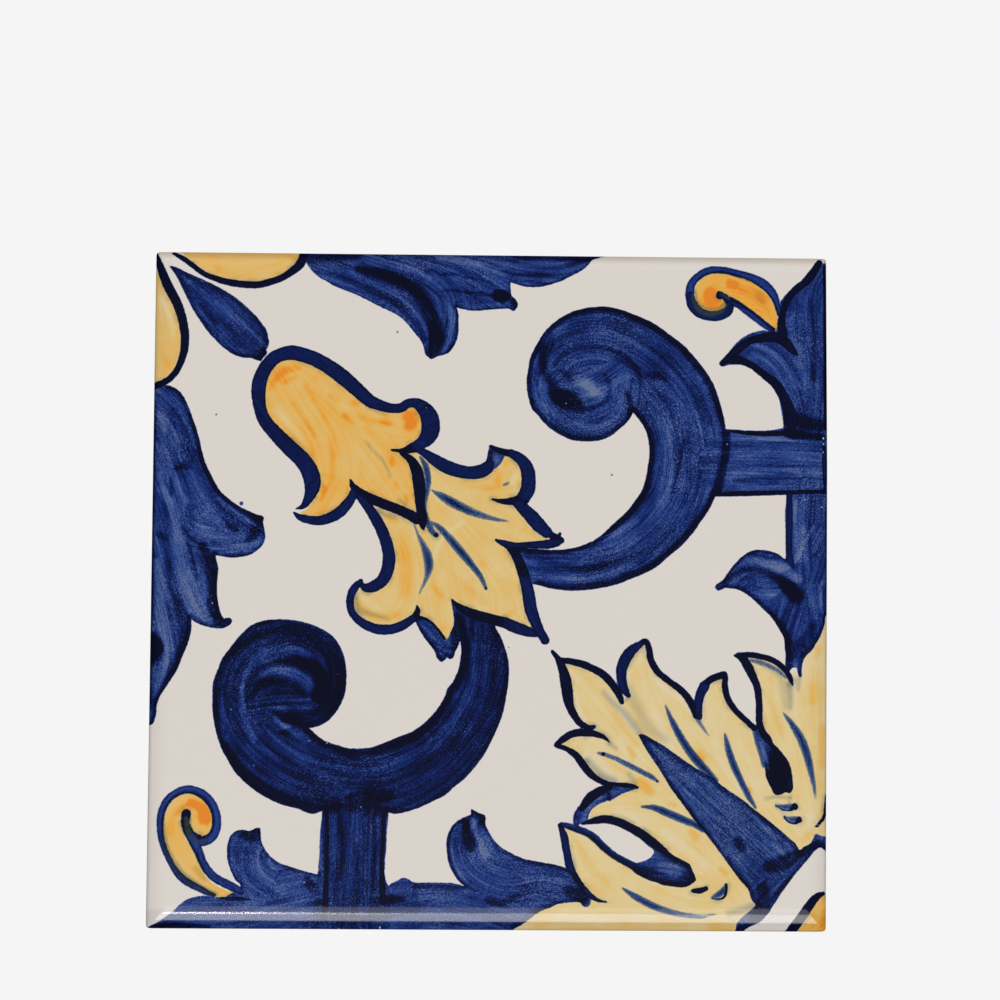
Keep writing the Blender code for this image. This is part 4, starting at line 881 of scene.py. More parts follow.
def near(points, outline, margin):
    """Which points lie within a margin of an outline's bounding box."""
    low = outline[:, :2].min(0) - margin
    high = outline[:, :2].max(0) + margin
    return np.flatnonzero(((points > low) & (points < high)).all(1))


# How far a distance is counted, and how far a shape is looked for, in mm
FAR = 9.0
REACH = 3.0


def union_of_shapes(points, shapes):
    """Signed distance to the union of closed shapes, and the index of the nearest one."""
    best = np.full(len(points), FAR)
    which = np.full(len(points), -1)
    for index, ring in enumerate(shapes):
        some = near(points, ring, REACH)
        if not len(some):
            continue
        distance = signed_distance(points[some], ring)
        better = distance < best[some]
        best[some[better]] = distance[better]
        which[some[better]] = index
    return best, which


def union_of_strokes(points, groups):
    """Signed distance to the union of strokes, and the depth of the nearest one."""
    best = np.full(len(points), FAR)
    depth = np.zeros(len(points))
    for value, paths in groups:
        for path in paths:
            some = near(points, path, REACH)
            if not len(some):
                continue
            distance = stroke_distance(points[some], path)[0]
            better = distance < best[some]
            best[some[better]] = distance[better]
            depth[some[better]] = value
    return best, depth


def smooth(low, high, value):
    t = np.clip((value - low) / (high - low), 0, 1)
    return t * t * (3 - 2 * t)


SOFT_START = 0.25


def soft_strokes(points, groups, softness):
    """How much soft strokes darken and lighten each point, as two amounts from 0 to 1."""
    darker = np.ones(len(points))
    lighter = np.ones(len(points))
    for value, paths in groups:
        for path in paths:
            some = near(points, path, REACH)
            if not len(some):
                continue
            distance = stroke_distance(points[some], path)[0]
            spread = softness * (SOFT_START + np.abs(path[:, 2]).mean() / 2)
            amount = 1 - smooth(-spread, spread, distance)
            if value > 0:
                darker[some] *= 1 - value * amount
            else:
                lighter[some] *= 1 + value * amount
    return 1 - darker, 1 - lighter


def stroke_groups(table):
    """A table of strokes as (depth, list of smooth paths) pairs."""
    return [(depth, [through(row, STROKE_STEPS) for row in number_rows(text)])
            for depth, text in table.items()]


def rim_paths(rings):
    """The rims as strokes that follow part of a shape's outline, with their strengths."""
    found = []
    for name, start, end, first, middle, last, strength in RIMS:
        ring = rings[name]
        a = int(np.hypot(*(ring - start).T).argmin())
        b = int(np.hypot(*(ring - end).T).argmin())
        order = np.arange(a, b + 1 if b > a else b + 1 + len(ring)) % len(ring)
        part = ring[order]
        t = np.linspace(0, 1, len(part))
        width = 2 * np.interp(t, (0, 0.5, 1), (first, middle, last))
        found.append((strength, [np.column_stack([part, width])]))
    return found


# Depth of plain blue, how much the soft strokes change it, and how softly each kind of stroke ends
BLUE_BASE = 0.71
DARKER_GAIN = 0.9
LIGHTER_GAIN = 0.85
TONE_SOFTNESS = 0.38
RIM_SOFTNESS = 0.22
DAB_SOFTNESS = 0.6
SHADE_SOFTNESS = 0.8
SHAPE_BLEND = 0.5
SPECK_REACH = 0.5
PASS_STEP = 3.7


class Painting:
    """The distances and depths of the painted layers at any points of the face."""

    def __init__(self):
        self.blue_rings = {name: outline_of(text) for name, text in BLUE_SHAPES.items()}
        self.yellow_rings = [outline_of(text) for depth, text in YELLOW_SHAPES.values()]
        self.yellow_depths = np.array([depth for depth, text in YELLOW_SHAPES.values()] + [0.0])
        self.white_rings = [outline_of(text) for text in WHITE_SHAPES.values()]
        self.lines = stroke_groups(LINES)
        self.washes = stroke_groups(WASHES)
        self.tones = stroke_groups(TONES)
        self.dabs = stroke_groups(DABS)
        self.rims = rim_paths(self.blue_rings)
        self.shades = stroke_groups(SHADES)
        self.guides = [through([(x, y, 0) for x, y in row], GUIDE_STEPS) for row in number_rows(GUIDES)]

    def edges(self, points):
        """Signed distances to the blue, line, wash and yellow areas, and the depths that go with them."""
        blue = union_of_shapes(points, list(self.blue_rings.values()))[0]
        white = union_of_shapes(points, self.white_rings)[0]
        line, line_depth = union_of_strokes(points, self.lines)
        wash, wash_depth = union_of_strokes(points, self.washes)
        yellow, which = union_of_shapes(points, self.yellow_rings)
        for x, y, radius, depth in SPECKS:
            distance = np.hypot(points[:, 0] - x, points[:, 1] - y) - radius
            nearer = distance < line
            line = np.where(nearer, distance, line)
            line_depth = np.where(nearer & (distance < SPECK_REACH), depth, line_depth)
        bare = np.full(len(points), -FAR)
        for x, y, radius in PINHOLES:
            bare = np.maximum(bare, radius - np.hypot(points[:, 0] - x, points[:, 1] - y))
        return {
            "blue": np.maximum(blue, bare),
            "line": np.maximum(line, bare),
            "wash": wash,
            "yellow": np.maximum(yellow, np.maximum(-white, bare)),
            "line_depth": line_depth,
            "wash_depth": wash_depth,
            "yellow_base": self.yellow_depths[which],
        }

    def tones_at(self, points, layers):
        """Depth of the blue, of the yellow and of the shade over it at each point."""
        darker, lighter = soft_strokes(points, self.tones, TONE_SOFTNESS)
        rim = soft_strokes(points, self.rims, RIM_SOFTNESS)[0]
        blue = BLUE_BASE + DARKER_GAIN * darker - LIGHTER_GAIN * lighter + rim
        for name, extra in DEEPER_SHAPES.items():
            edge = signed_distance(points, self.blue_rings[name])
            blue += extra * (1 - smooth(-SHAPE_BLEND, SHAPE_BLEND, edge))
        deeper, paler = soft_strokes(points, self.dabs, DAB_SOFTNESS)
        yellow = layers["yellow_base"] + deeper - paler
        shade = soft_strokes(points, self.shades, SHADE_SOFTNESS)[0]
        return blue, yellow, shade

    def flow(self, flat, faces):
        """For each face's corners, the place along and across the nearest brush pass, and its number."""
        corners = np.array([v for f in faces for v in f])
        sizes = np.array([len(f) for f in faces])
        starts = np.cumsum(sizes) - sizes
        centres = np.add.reduceat(flat[corners], starts) / sizes[:, None]
        best = np.full(len(faces), FAR)
        chosen = np.full(len(faces), -1)
        for number, path in enumerate(self.guides):
            some = near(centres, path, FAR)
            distance = stroke_distance(centres[some], path)[0]
            better = distance < best[some]
            best[some[better]] = distance[better]
            chosen[some[better]] = number
        chosen = np.repeat(chosen, sizes)
        found = np.column_stack([flat[corners], np.zeros(len(corners))])
        for number, path in enumerate(self.guides):
            some = np.flatnonzero(chosen == number)
            if len(some):
                _, along, across = stroke_distance(flat[corners[some]], lengthened(path))
                found[some] = np.column_stack([along, across, np.full(len(some), PASS_STEP * number)])
        return found


def lengthened(path):
    """A path with straight pieces added to both ends."""
    first = path[0] + (path[0] - path[1]) / np.hypot(*(path[0] - path[1])[:2]) * FAR
    last = path[-1] + (path[-1] - path[-2]) / np.hypot(*(path[-1] - path[-2])[:2]) * FAR
    return np.vstack([first, path, last])


def into_roll(x, y):
    """How far into the rolled edge a point lies: 0 on the flat face, the roll's width at the outline."""
    a = np.maximum(np.abs(x) - (HALF_SIDE - ROLL_WIDTH), 0)
    b = np.maximum(np.abs(y) - (HALF_SIDE - ROLL_WIDTH), 0)
    return np.clip((a ** CORNER_POWER + b ** CORNER_POWER) ** (1 / CORNER_POWER), 0, ROLL_WIDTH)


FACE_DROP = 0.03
WAVE_HEIGHT = 0.016


def face_height(x, y):
    """The glazed face: flat with faint waves, rolling over at the edges."""
    into = into_roll(x, y) / ROLL_WIDTH
    roll = THICKNESS - ROLL_RADIUS * (1 - np.sqrt(np.maximum(1 - into ** 2, 0)))
    wave = np.sin(x / 9.1 + 0.7) * np.cos(y / 11.3 - 0.4) + 0.6 * np.sin(x / 5.3 - y / 6.1)
    return roll - FACE_DROP + WAVE_HEIGHT * wave * (1 - into)


def hand_cut(points):
    """The face as photographed, a little smaller than a true square at its left, top and right."""
    moved = points.copy()
    right_side = np.minimum(RIGHT_SIDE + RIGHT_SLANT * points[:, 1], HALF_SIDE)
    moved[:, 0] *= np.where(points[:, 0] > 0, right_side, LEFT_SIDE) / HALF_SIDE
    moved[:, 1] *= np.where(points[:, 1] > 0, TOP_SIDE, HALF_SIDE) / HALF_SIDE
    return moved


CORNER_STEPS = 24


def outline_ring(inset, spacing):
    """Points around the tile, a distance inside its outline, as a square with small round corners."""
    straight = HALF_SIDE - ROLL_WIDTH
    reach = ROLL_WIDTH - inset
    side = np.linspace(-straight, straight, int(2 * straight / spacing) + 1)[:-1]
    turn = np.linspace(0, math.pi / 2, CORNER_STEPS + 1)[:-1]
    c, s = np.cos(turn), np.sin(turn)
    norm = (c ** CORNER_POWER + s ** CORNER_POWER) ** (1 / CORNER_POWER)
    corner = np.column_stack([straight + reach * s / norm, -straight - reach * c / norm])
    edge = np.column_stack([side, np.full(len(side), -straight - reach)])
    quarter = np.vstack([edge, corner])
    ring = []
    for k in range(4):
        cos, sin = round(math.cos(k * math.pi / 2)), round(math.sin(k * math.pi / 2))
        spin = np.array([[cos, -sin], [sin, cos]])
        ring.append(quarter @ spin.T)
    return np.vstack(ring)


# How closely the points of the mesh lie, in mm: round the edge, in the white, in the paint, along its edges
RING_SPACING = 0.6
RING_INSETS = (0.0, 0.02, 0.07, 0.15, 0.28, 0.45, 0.68, 0.96, 1.3, 1.7, 2.2, 2.7, 3.3, 3.9, 4.6)
COARSE_SPACING = 1.4
PAINT_SPACING = 0.54
EDGE_SPACING = 0.285
EDGE_BAND = 0.42
PAINT_MARGIN = 0.5
BARE_MARGIN = 0.9
GRID_GAP = 0.2
ROW_STEP = 0.866
BACK_SPACING = 9.0
BACK_REACH = 66.0
SIDE_HEIGHTS = (3.6, 2.0, BACK_BREAK)
MERGE_DISTANCE = 1e-5
ON_FACE, ON_SIDE, ON_BREAK, ON_BACK = range(4)
LAYERS = ("blue", "line", "wash", "yellow")


def grid(spacing):
    """Points of an even hexagonal grid over the flat of the face."""
    limit = HALF_SIDE - ROLL_WIDTH - GRID_GAP
    rows = np.arange(-limit, limit, spacing * ROW_STEP)
    points = []
    for index, y in enumerate(rows):
        x = np.arange(-limit + (index % 2) * spacing / 2, limit, spacing)
        points.append(np.column_stack([x, np.full(len(x), y)]))
    return np.vstack(points)


def around(painting, points):
    """How far inside the paint each point is, how near to a visible edge, and whether pigment hides it."""
    layers = painting.edges(points)
    distances = [layers[name] for name in LAYERS]
    inside = np.min(distances, axis=0)
    closest = np.min(np.abs(distances), axis=0)
    under_blue = (layers["blue"] < -EDGE_BAND) & (np.abs(layers["line"]) > EDGE_BAND)
    return inside, closest, (layers["line"] < -EDGE_BAND) | under_blue


def face_points(painting):
    """Points of the face: few in the white, more in the paint, most along the pigment's edges."""
    fine, middle, coarse = grid(EDGE_SPACING), grid(PAINT_SPACING), grid(COARSE_SPACING)
    inside, closest, hidden = around(painting, fine)
    at_edge = fine[(closest < EDGE_BAND) & ~hidden]
    inside, closest, hidden = around(painting, middle)
    painted = middle[(inside < PAINT_MARGIN) & ((closest > EDGE_BAND) | hidden)]
    inside, closest, hidden = around(painting, coarse)
    bare = coarse[inside > BARE_MARGIN]
    return np.vstack([at_edge, painted, bare])


def triangulated(plan):
    """Flat points as triangles: the points, the faces, and which given points each one stands for."""
    result = delaunay_2d_cdt([Vector(p) for p in plan], [], [], 0, MERGE_DISTANCE, True)
    return result[0], result[2], result[3]


class Shell:
    """The points and faces of the closed tile, built from the face down to the back."""

    def __init__(self, painting):
        rings = [outline_ring(inset, RING_SPACING) for inset in RING_INSETS]
        self.outline = rings[0]
        self.count = len(self.outline)
        plan, triangles, origins = triangulated(np.vstack(rings + [face_points(painting)]))
        plan = np.array([tuple(v) for v in plan])
        self.points = [np.column_stack([plan, face_height(plan[:, 0], plan[:, 1])])]
        self.total = len(plan)
        self.faces = [tuple(t) for t in triangles]
        self.kinds = [ON_FACE] * len(self.faces)
        place = {origin: index for index, found in enumerate(origins) for origin in found}
        self.rim = [place[i] for i in range(self.count)]

    def add_band(self, ring, height, kind):
        """A band of faces from the present rim down to a ring of new points."""
        level = list(range(self.total, self.total + self.count))
        self.points.append(np.column_stack([ring, np.full(self.count, height)]))
        self.total += self.count
        for i in range(self.count):
            j = (i + 1) % self.count
            self.faces.append((self.rim[i], level[i], level[j], self.rim[j]))
            self.kinds.append(kind)
        self.rim = level

    def close_back(self, ring):
        """The flat back within the last ring."""
        inner = grid(BACK_SPACING)
        inner = inner[np.abs(inner).max(1) < BACK_REACH]
        plan, triangles, origins = triangulated(np.vstack([ring, inner]))
        lookup = []
        extra = []
        for index, found in enumerate(origins):
            origin = min(found)
            if origin < self.count:
                lookup.append(self.rim[origin])
            else:
                lookup.append(self.total + len(extra))
                extra.append((*plan[index], 0.0))
        self.points.append(np.array(extra))
        for triangle in triangles:
            self.faces.append(tuple(lookup[i] for i in reversed(triangle)))
            self.kinds.append(ON_BACK)


def build_mesh(painting):
    """The points, the faces and the kind of each face of the closed tile."""
    shell = Shell(painting)
    for height in SIDE_HEIGHTS:
        shell.add_band(shell.outline, height, ON_SIDE)
    back_ring = outline_ring(BACK_BREAK, RING_SPACING)
    shell.add_band(back_ring, 0.0, ON_BREAK)
    shell.close_back(back_ring)
    return np.vstack(shell.points), shell.faces, np.array(shell.kinds)


def set_attribute(mesh, name, domain, *columns):
    """Keeps three numbers on each point or corner of the mesh."""
    values = np.column_stack(columns)
    layer = mesh.attributes.new(name, "FLOAT_VECTOR", domain)
    layer.data.foreach_set("vector", np.ascontiguousarray(values, np.float32).ravel())


TOP_MAP = (0.005, 0.82)
STRIP_START = 0.84
STRIP_STEP = 0.04
STRIP_WIDTH = 0.03
BACK_MAP = (0.84, 0.155)


def unwrap(mesh, points, kinds):
    """One map: the face fills most of it, the sides lie above it as strips and the back beside it."""
    corners = np.empty(len(mesh.loops), np.int32)
    mesh.loops.foreach_get("vertex_index", corners)
    totals = np.empty(len(mesh.polygons), np.int32)
    mesh.polygons.foreach_get("loop_total", totals)
    kind = np.repeat(kinds, totals)
    face_of = np.repeat(np.arange(len(totals)), totals)
    xyz = points[corners]
    normals = np.empty(len(mesh.polygons) * 3, np.float32)
    mesh.polygons.foreach_get("normal", normals)
    normals = normals.reshape(-1, 3)[face_of]
    unit = (xyz + HALF_SIDE) / (2 * HALF_SIDE)
    uv = TOP_MAP[0] + TOP_MAP[1] * unit[:, :2]
    side = (kind == ON_SIDE) | (kind == ON_BREAK)
    facing = np.where(
        np.abs(normals[:, 0]) > np.abs(normals[:, 1]),
        np.where(normals[:, 0] > 0, 0, 1),
        np.where(normals[:, 1] > 0, 2, 3),
    )
    along = np.where(facing < 2, unit[:, 1], unit[:, 0])
    strip = STRIP_START + STRIP_STEP * facing + STRIP_WIDTH * xyz[:, 2] / THICKNESS
    uv[side] = np.column_stack([TOP_MAP[0] + TOP_MAP[1] * along, strip])[side]
    back = kind == ON_BACK
    uv[back] = (BACK_MAP[0] + BACK_MAP[1] * unit[:, :2])[back] + (0, TOP_MAP[0] - BACK_MAP[0])
    layer = mesh.uv_layers.new(name="OFBake")
    layer.data.foreach_set("uv", np.ascontiguousarray(uv, np.float32).ravel())


SHARP_ANGLE = math.radians(35)


def make_tile():
    """The visible tile."""
    painting = Painting()
    points, faces, kinds = build_mesh(painting)
    shown = hand_cut(points)
    mesh = bpy.data.meshes.new("azulejo_tile")
    mesh.from_pydata([tuple(p) for p in shown * MM], [], faces)
    mesh.validate()
    mesh.polygons.foreach_set("material_index", (kinds == ON_BACK).astype(np.int32))

    flat = shown[:, :2]
    layers = painting.edges(flat)
    blue, yellow, shade = painting.tones_at(flat, layers)
    set_attribute(mesh, "edges", "POINT", layers["blue"], layers["line"], layers["wash"])
    set_attribute(mesh, "depths", "POINT", blue, layers["line_depth"], layers["wash_depth"])
    set_attribute(mesh, "warm", "POINT", layers["yellow"], yellow, shade)
    unwrap(mesh, points, kinds)
    set_attribute(mesh, "flow", "CORNER", painting.flow(flat, faces))

    tile = bpy.data.objects.new("azulejo_tile", mesh)
    bpy.context.scene.collection.objects.link(tile)
    mesh.materials.append(Glaze().material)
    mesh.materials.append(fired_clay())
    mesh.shade_smooth()
    mesh.set_sharp_from_angle(angle=SHARP_ANGLE)
    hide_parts("tile")
    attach(tile, "root")


def linear(red, green, blue):
    """A screen colour, 0 to 255, as linear light."""
    def one(value):
        value /= 255
        return value / 12.92 if value <= 0.04045 else ((value + 0.055) / 1.055) ** 2.4
    return (one(red), one(green), one(blue), 1.0)


class Nodes:
    """Short ways to add and join shader nodes."""

    def __init__(self, name):
        self.material = bpy.data.materials.new(name)
        self.material.use_nodes = True
        self.tree = self.material.node_tree
        self.shader = self.tree.nodes["Principled BSDF"]

    def set(self, socket, value):
        if isinstance(value, bpy.types.NodeSocket):
            self.tree.links.new(value, socket)
        else:
            socket.default_value = value

    def clear_from_behind(self):
        """Lets the eye through from below, where the floor would hide the back of the tile."""
        nodes = self.tree.nodes
        both = nodes.new("ShaderNodeMixShader")
        self.set(both.inputs[0], nodes.new("ShaderNodeNewGeometry").outputs["Backfacing"])
        self.set(both.inputs[1], self.shader.outputs[0])
        self.set(both.inputs[2], nodes.new("ShaderNodeBsdfTransparent").outputs[0])
        self.set(nodes["Material Output"].inputs["Surface"], both.outputs[0])

    def math(self, operation, *values):
        node = self.tree.nodes.new("ShaderNodeMath")
        node.operation = operation
        for socket, value in zip(node.inputs, values):
            self.set(socket, value)
        return node.outputs[0]

    def add(self, first, second):
        return self.math("ADD", first, second)

    def times(self, first, second):
        return self.math("MULTIPLY", first, second)

    def most(self, first, second):
        return self.math("MAXIMUM", first, second)

    def within(self, value, low, high):
        return self.math("MINIMUM", self.most(value, low), high)

    def map(self, value, low, high, out_low=0.0, out_high=1.0, kind="SMOOTHSTEP"):
        """A value from low to high, eased to a value from out_low to out_high."""
        node = self.tree.nodes.new("ShaderNodeMapRange")
        node.interpolation_type = kind
        ends = {"From Min": low, "From Max": high, "To Min": out_low, "To Max": out_high}
        for name, number in ends.items():
            self.set(node.inputs[name], number)
        self.set(node.inputs["Value"], value)
        return node.outputs["Result"]

    def about(self, value, spread, reach):
        """A noise value, stretched evenly so that spread on either side of the middle becomes reach."""
        return self.map(value, 0.5 - spread, 0.5 + spread, -reach, reach, "LINEAR")

    def attribute(self, name):
        node = self.tree.nodes.new("ShaderNodeAttribute")
        node.attribute_name = name
        return self.split(node.outputs["Vector"])

    def split(self, vector):
        node = self.tree.nodes.new("ShaderNodeSeparateXYZ")
        self.set(node.inputs[0], vector)
        return node.outputs[0], node.outputs[1], node.outputs[2]

    def join(self, x, y, z):
        node = self.tree.nodes.new("ShaderNodeCombineXYZ")
        for socket, value in zip(node.inputs, (x, y, z)):
            self.set(socket, value)
        return node.outputs[0]

    def scaled(self, vector, scale):
        node = self.tree.nodes.new("ShaderNodeVectorMath")
        node.operation = "SCALE"
        self.set(node.inputs[0], vector)
        node.inputs["Scale"].default_value = scale
        return node.outputs[0]

    def place(self):
        """Where the point is on the object, in millimetres."""
        node = self.tree.nodes.new("ShaderNodeTexCoord")
        return self.scaled(node.outputs["Object"], 1 / MM)

    def noise(self, vector, scale, detail=2.0, roughness=0.5):
        node = self.tree.nodes.new("ShaderNodeTexNoise")
        self.set(node.inputs["Vector"], vector)
        node.inputs["Scale"].default_value = scale
        node.inputs["Detail"].default_value = detail
        node.inputs["Roughness"].default_value = roughness
        return node.outputs["Fac"]

    def ramp(self, value, stops):
        node = self.tree.nodes.new("ShaderNodeValToRGB")
        self.set(node.inputs[0], value)
        elements = node.color_ramp.elements
        while len(elements) < len(stops):
            elements.new(0.5)
        for element, (position, colour) in zip(elements, stops):
            element.position = position
            element.color = colour
        return node.outputs[0]

    def mix(self, kind, factor, first, second):
        node = self.tree.nodes.new("ShaderNodeMix")
        node.data_type = "RGBA"
        node.blend_type = kind
        self.set(node.inputs[0], factor)
        self.set(node.inputs[6], first)
        self.set(node.inputs[7], second)
        return node.outputs[2]

    def bump(self, height, strength, distance):
        node = self.tree.nodes.new("ShaderNodeBump")
        node.inputs["Strength"].default_value = strength
        node.inputs["Distance"].default_value = distance
        self.set(node.inputs["Height"], height)
        self.set(self.shader.inputs["Normal"], node.outputs[0])


# The colours of the glaze as the blue and the yellow deepen
BLUE_RAMP = (
    (0.0, (1, 1, 1, 1)),
    (0.2, linear(190, 200, 220)),
    (0.4, linear(118, 138, 184)),
    (0.55, linear(66, 98, 176)),
    (0.68, linear(39, 69, 153)),
    (0.8, linear(20, 41, 114)),
    (0.9, linear(17, 29, 80)),
    (1.0, linear(15, 19, 45)),
)
YELLOW_RAMP = (
    (0.0, linear(217, 210, 203)),
    (0.3, linear(219, 203, 165)),
    (0.5, linear(219, 196, 141)),
    (0.64, linear(219, 185, 116)),
    (0.8, linear(223, 174, 90)),
    (0.9, linear(227, 161, 60)),
    (1.0, linear(225, 132, 44)),
)
# Painted shade: the glaze darkens towards these colours low on the sides, along the head edge and along the
# foot
EDGE_SHADE_COLOUR = linear(196, 184, 172)
NEAR_SHADE = linear(228, 229, 236)
OLIVE = linear(50, 60, 50)
CLAY_GRAIN = linear(186, 160, 138)

# How softly a pigment edge ends in mm, and how much blue and thin blue hide the yellow under them
EDGE_SOFTNESS = 0.12
WASH_SOFTNESS = 0.18
YELLOW_SOFTNESS = 0.2
SHADE_EDGE = 0.4
PAINT_COVER = 0.88
WASH_COVER = 0.62

# The least and greatest depth of each layer
FILL_DEPTHS = (0.4, 1.0)
LINE_DEPTHS = (0.5, 1.0)
WASH_DEPTHS = (0.2, 0.95)
YELLOW_DEPTHS = (0.3, 1.0)
SHADE_LIMIT = 0.2

# Where the painted shade begins and ends: height on the side, y near the head and y near the foot, in mm
SIDE_SHADE_FROM, SIDE_SHADE_TO = 4.9, 6.6
HEAD_SHADE_FROM, HEAD_SHADE_TO = 67.8, 69.4
FOOT_SHADE_FROM, FOOT_SHADE_TO = -67.0, -65.6
GLOSS_FROM, GLOSS_TO = 6.9, 7.45
LIP_FROM, LIP_TO = 2.9, 3.2

GLAZE_ROUGHNESS = 0.13
GLAZE_IOR = 1.5
PEEL_STRENGTH = 0.12
PEEL_HEIGHT = 0.00008
CLAY_ROUGHNESS = 0.85
CLAY_SHINE = 0.2
CLAY_BUMP_STRENGTH = 0.15
CLAY_BUMP_HEIGHT = 0.0002

# The brush streaks: how fast the noise changes along and across a pass, per mm
BROAD_STREAK = (0.035, 0.75)
FINE_STREAK = (0.1, 2.6)


class Glaze(Nodes):
    """White tin glaze with cobalt and yellow in it, streaked by the brush, under a clear gloss."""

    def __init__(self):
        super().__init__("painted_glaze")
        self.blue_edge, self.line_edge, self.wash_edge = self.attribute("edges")
        self.blue_depth, self.line_depth, self.wash_depth = self.attribute("depths")
        self.yellow_edge, self.yellow_depth, self.shade = self.attribute("warm")
        self.at = self.place()
        self.brush_marks()
        self.wash_cover = self.inside(self.wash_edge, WASH_SOFTNESS)
        blue = self.blue()
        self.finish_surface(self.colour(blue), blue)

    def streak(self, rates, detail):
        """Noise drawn out along the brush pass."""
        along, across, number = self.attribute("flow")
        drawn_out = self.join(self.times(along, rates[0]), self.times(across, rates[1]), number)
        return self.noise(drawn_out, 1.0, detail, 0.6)

    def brush_marks(self):
        """Streaks, specks, pools and unsteady edges."""
        self.streaks = self.add(
            self.about(self.streak(BROAD_STREAK, 3.0), 0.22, 0.13),
            self.about(self.streak(FINE_STREAK, 2.0), 0.18, 0.09),
        )
        self.grain = self.noise(self.at, 4.2, 0.0)
        sparkle = self.map(self.noise(self.at, 4.8, 0.0), 0.6, 0.74, 0.0, -0.3)
        rough = self.map(self.noise(self.at, 0.09, 2.0), 0.35, 0.65, 0.45, 1.0)
        self.speckle = self.times(self.add(self.about(self.grain, 0.2, -0.12), sparkle), rough)
        self.pools = self.about(self.noise(self.at, 0.16, 3.0, 0.55), 0.2, 0.07)
        self.wobble = self.about(self.noise(self.at, 1.3, 2.0), 0.3, 0.08)
        self.marks = self.add(self.streaks, self.speckle)

    def inside(self, edge, softness=EDGE_SOFTNESS):
        return self.map(self.add(edge, self.wobble), -softness, softness, 1.0, 0.0)

    def fill(self):
        """The blue of the closed shapes."""
        depth = self.add(self.add(self.blue_depth, self.streaks), self.add(self.speckle, self.pools))
        return self.times(self.within(depth, *FILL_DEPTHS), self.inside(self.blue_edge))

    def line(self):
        """The dark outlines, a little darker along their rims."""
        rim = self.map(self.line_edge, -0.55, -0.1, 0.0, 0.1)
        depth = self.add(self.add(self.line_depth, rim), self.times(self.marks, 0.32))
        return self.times(self.within(depth, *LINE_DEPTHS), self.inside(self.line_edge))

    def wash(self):
        """The thin strokes: rims of pigment, pooled along the middle where the wash is thinnest."""
        rim = self.map(self.wash_edge, -0.5, -0.05, -0.04, 0.16)
        core = self.map(self.wash_edge, -0.85, -0.1, 0.24, -0.08)
        thin = self.map(self.wash_depth, 0.66, 0.72, 1.0, 0.0)
        pool = self.times(thin, self.math("SUBTRACT", core, rim))
        depth = self.add(self.add(self.wash_depth, rim), self.add(pool, self.times(self.marks, 0.5)))
        thick = self.map(self.wash_depth, 0.7, 0.74)
        depth = self.add(depth, self.times(thick, self.map(self.yellow_edge, 0.15, 0.6, 0.2, 0.0)))
        return self.times(self.within(depth, *WASH_DEPTHS), self.wash_cover)

    def veil(self):
        """Faint thinned blue over the yellow, and a tinge beside the outlines."""
        patches = self.map(self.noise(self.at, 0.35, 2.0), 0.42, 0.66)
        tinge = self.times(self.map(self.line_edge, 0.0, 1.1, 0.14, 0.0), patches)
        depth = self.add(self.math("MINIMUM", self.shade, SHADE_LIMIT), tinge)
        return self.times(depth, self.inside(self.yellow_edge, SHADE_EDGE))

    def blue(self):
        return self.most(self.most(self.fill(), self.line()), self.most(self.wash(), self.veil()))

    def yellow(self, covered):
        marks = self.add(self.times(self.streaks, 0.5), self.times(self.pools, 1.1))
        depth = self.within(self.add(self.yellow_depth, marks), *YELLOW_DEPTHS)
        depth = self.times(depth, self.map(covered, 0.0, 1.0, 1.0, 1.0 - PAINT_COVER, "LINEAR"))
        return self.times(depth, self.inside(self.yellow_edge, YELLOW_SOFTNESS))

    def colour(self, blue):
        """Both pigments over the white, with painted shade low on the sides and along the head and foot,
        and bare clay below the lip of the glaze.
        """
        opaque = self.most(self.inside(self.blue_edge), self.inside(self.line_edge))
        covered = self.most(opaque, self.times(self.wash_cover, WASH_COVER))
        mixed = self.map(self.noise(self.at, 0.8, 2.0), 0.35, 0.6, 0.6, 1.0)
        mingled = self.times(self.map(self.shade, 0.3, 0.8, 0.0, 0.8), mixed)
        across, along, height = self.split(self.at)
        warm = self.yellow(covered)
        colour = self.mix("MULTIPLY", 1.0, self.ramp(warm, YELLOW_RAMP), self.ramp(blue, BLUE_RAMP))
        colour = self.mix("MIX", self.times(mingled, covered), colour, OLIVE)
        # Painted shade: darker low on the sides, along the head edge and at the foot
        edge_shade = self.map(height, SIDE_SHADE_FROM, SIDE_SHADE_TO, 0.8, 0.0)
        colour = self.mix("MULTIPLY", edge_shade, colour, EDGE_SHADE_COLOUR)
        edge_shade = self.map(along, HEAD_SHADE_FROM, HEAD_SHADE_TO, 0.0, 0.5)
        colour = self.mix("MULTIPLY", edge_shade, colour, EDGE_SHADE_COLOUR)
        shaded = self.map(along, FOOT_SHADE_FROM, FOOT_SHADE_TO, 0.6, 0.0)
        colour = self.mix("MULTIPLY", shaded, colour, NEAR_SHADE)
        lip = self.add(height, self.about(self.noise(self.at, 0.14, 1.0), 0.2, 0.7))
        bare = self.map(lip, LIP_FROM, LIP_TO, 1.0, 0.0)
        return self.mix("MIX", bare, colour, clay_colour(self, self.at))

    def finish_surface(self, colour, blue):
        """The gloss, and the faint unevenness of the glaze over the pigment."""
        height = self.split(self.at)[2]
        self.set(self.shader.inputs["Base Color"], colour)
        self.shader.inputs["Roughness"].default_value = GLAZE_ROUGHNESS
        self.shader.inputs["IOR"].default_value = GLAZE_IOR
        self.set(self.shader.inputs["Specular IOR Level"], self.map(height, GLOSS_FROM, GLOSS_TO, 0.0, 0.5))
        peel = self.add(self.noise(self.at, 0.55, 2.0), self.times(self.grain, 0.25))
        self.bump(self.math("SUBTRACT", peel, self.times(blue, 0.3)), PEEL_STRENGTH, PEEL_HEIGHT)


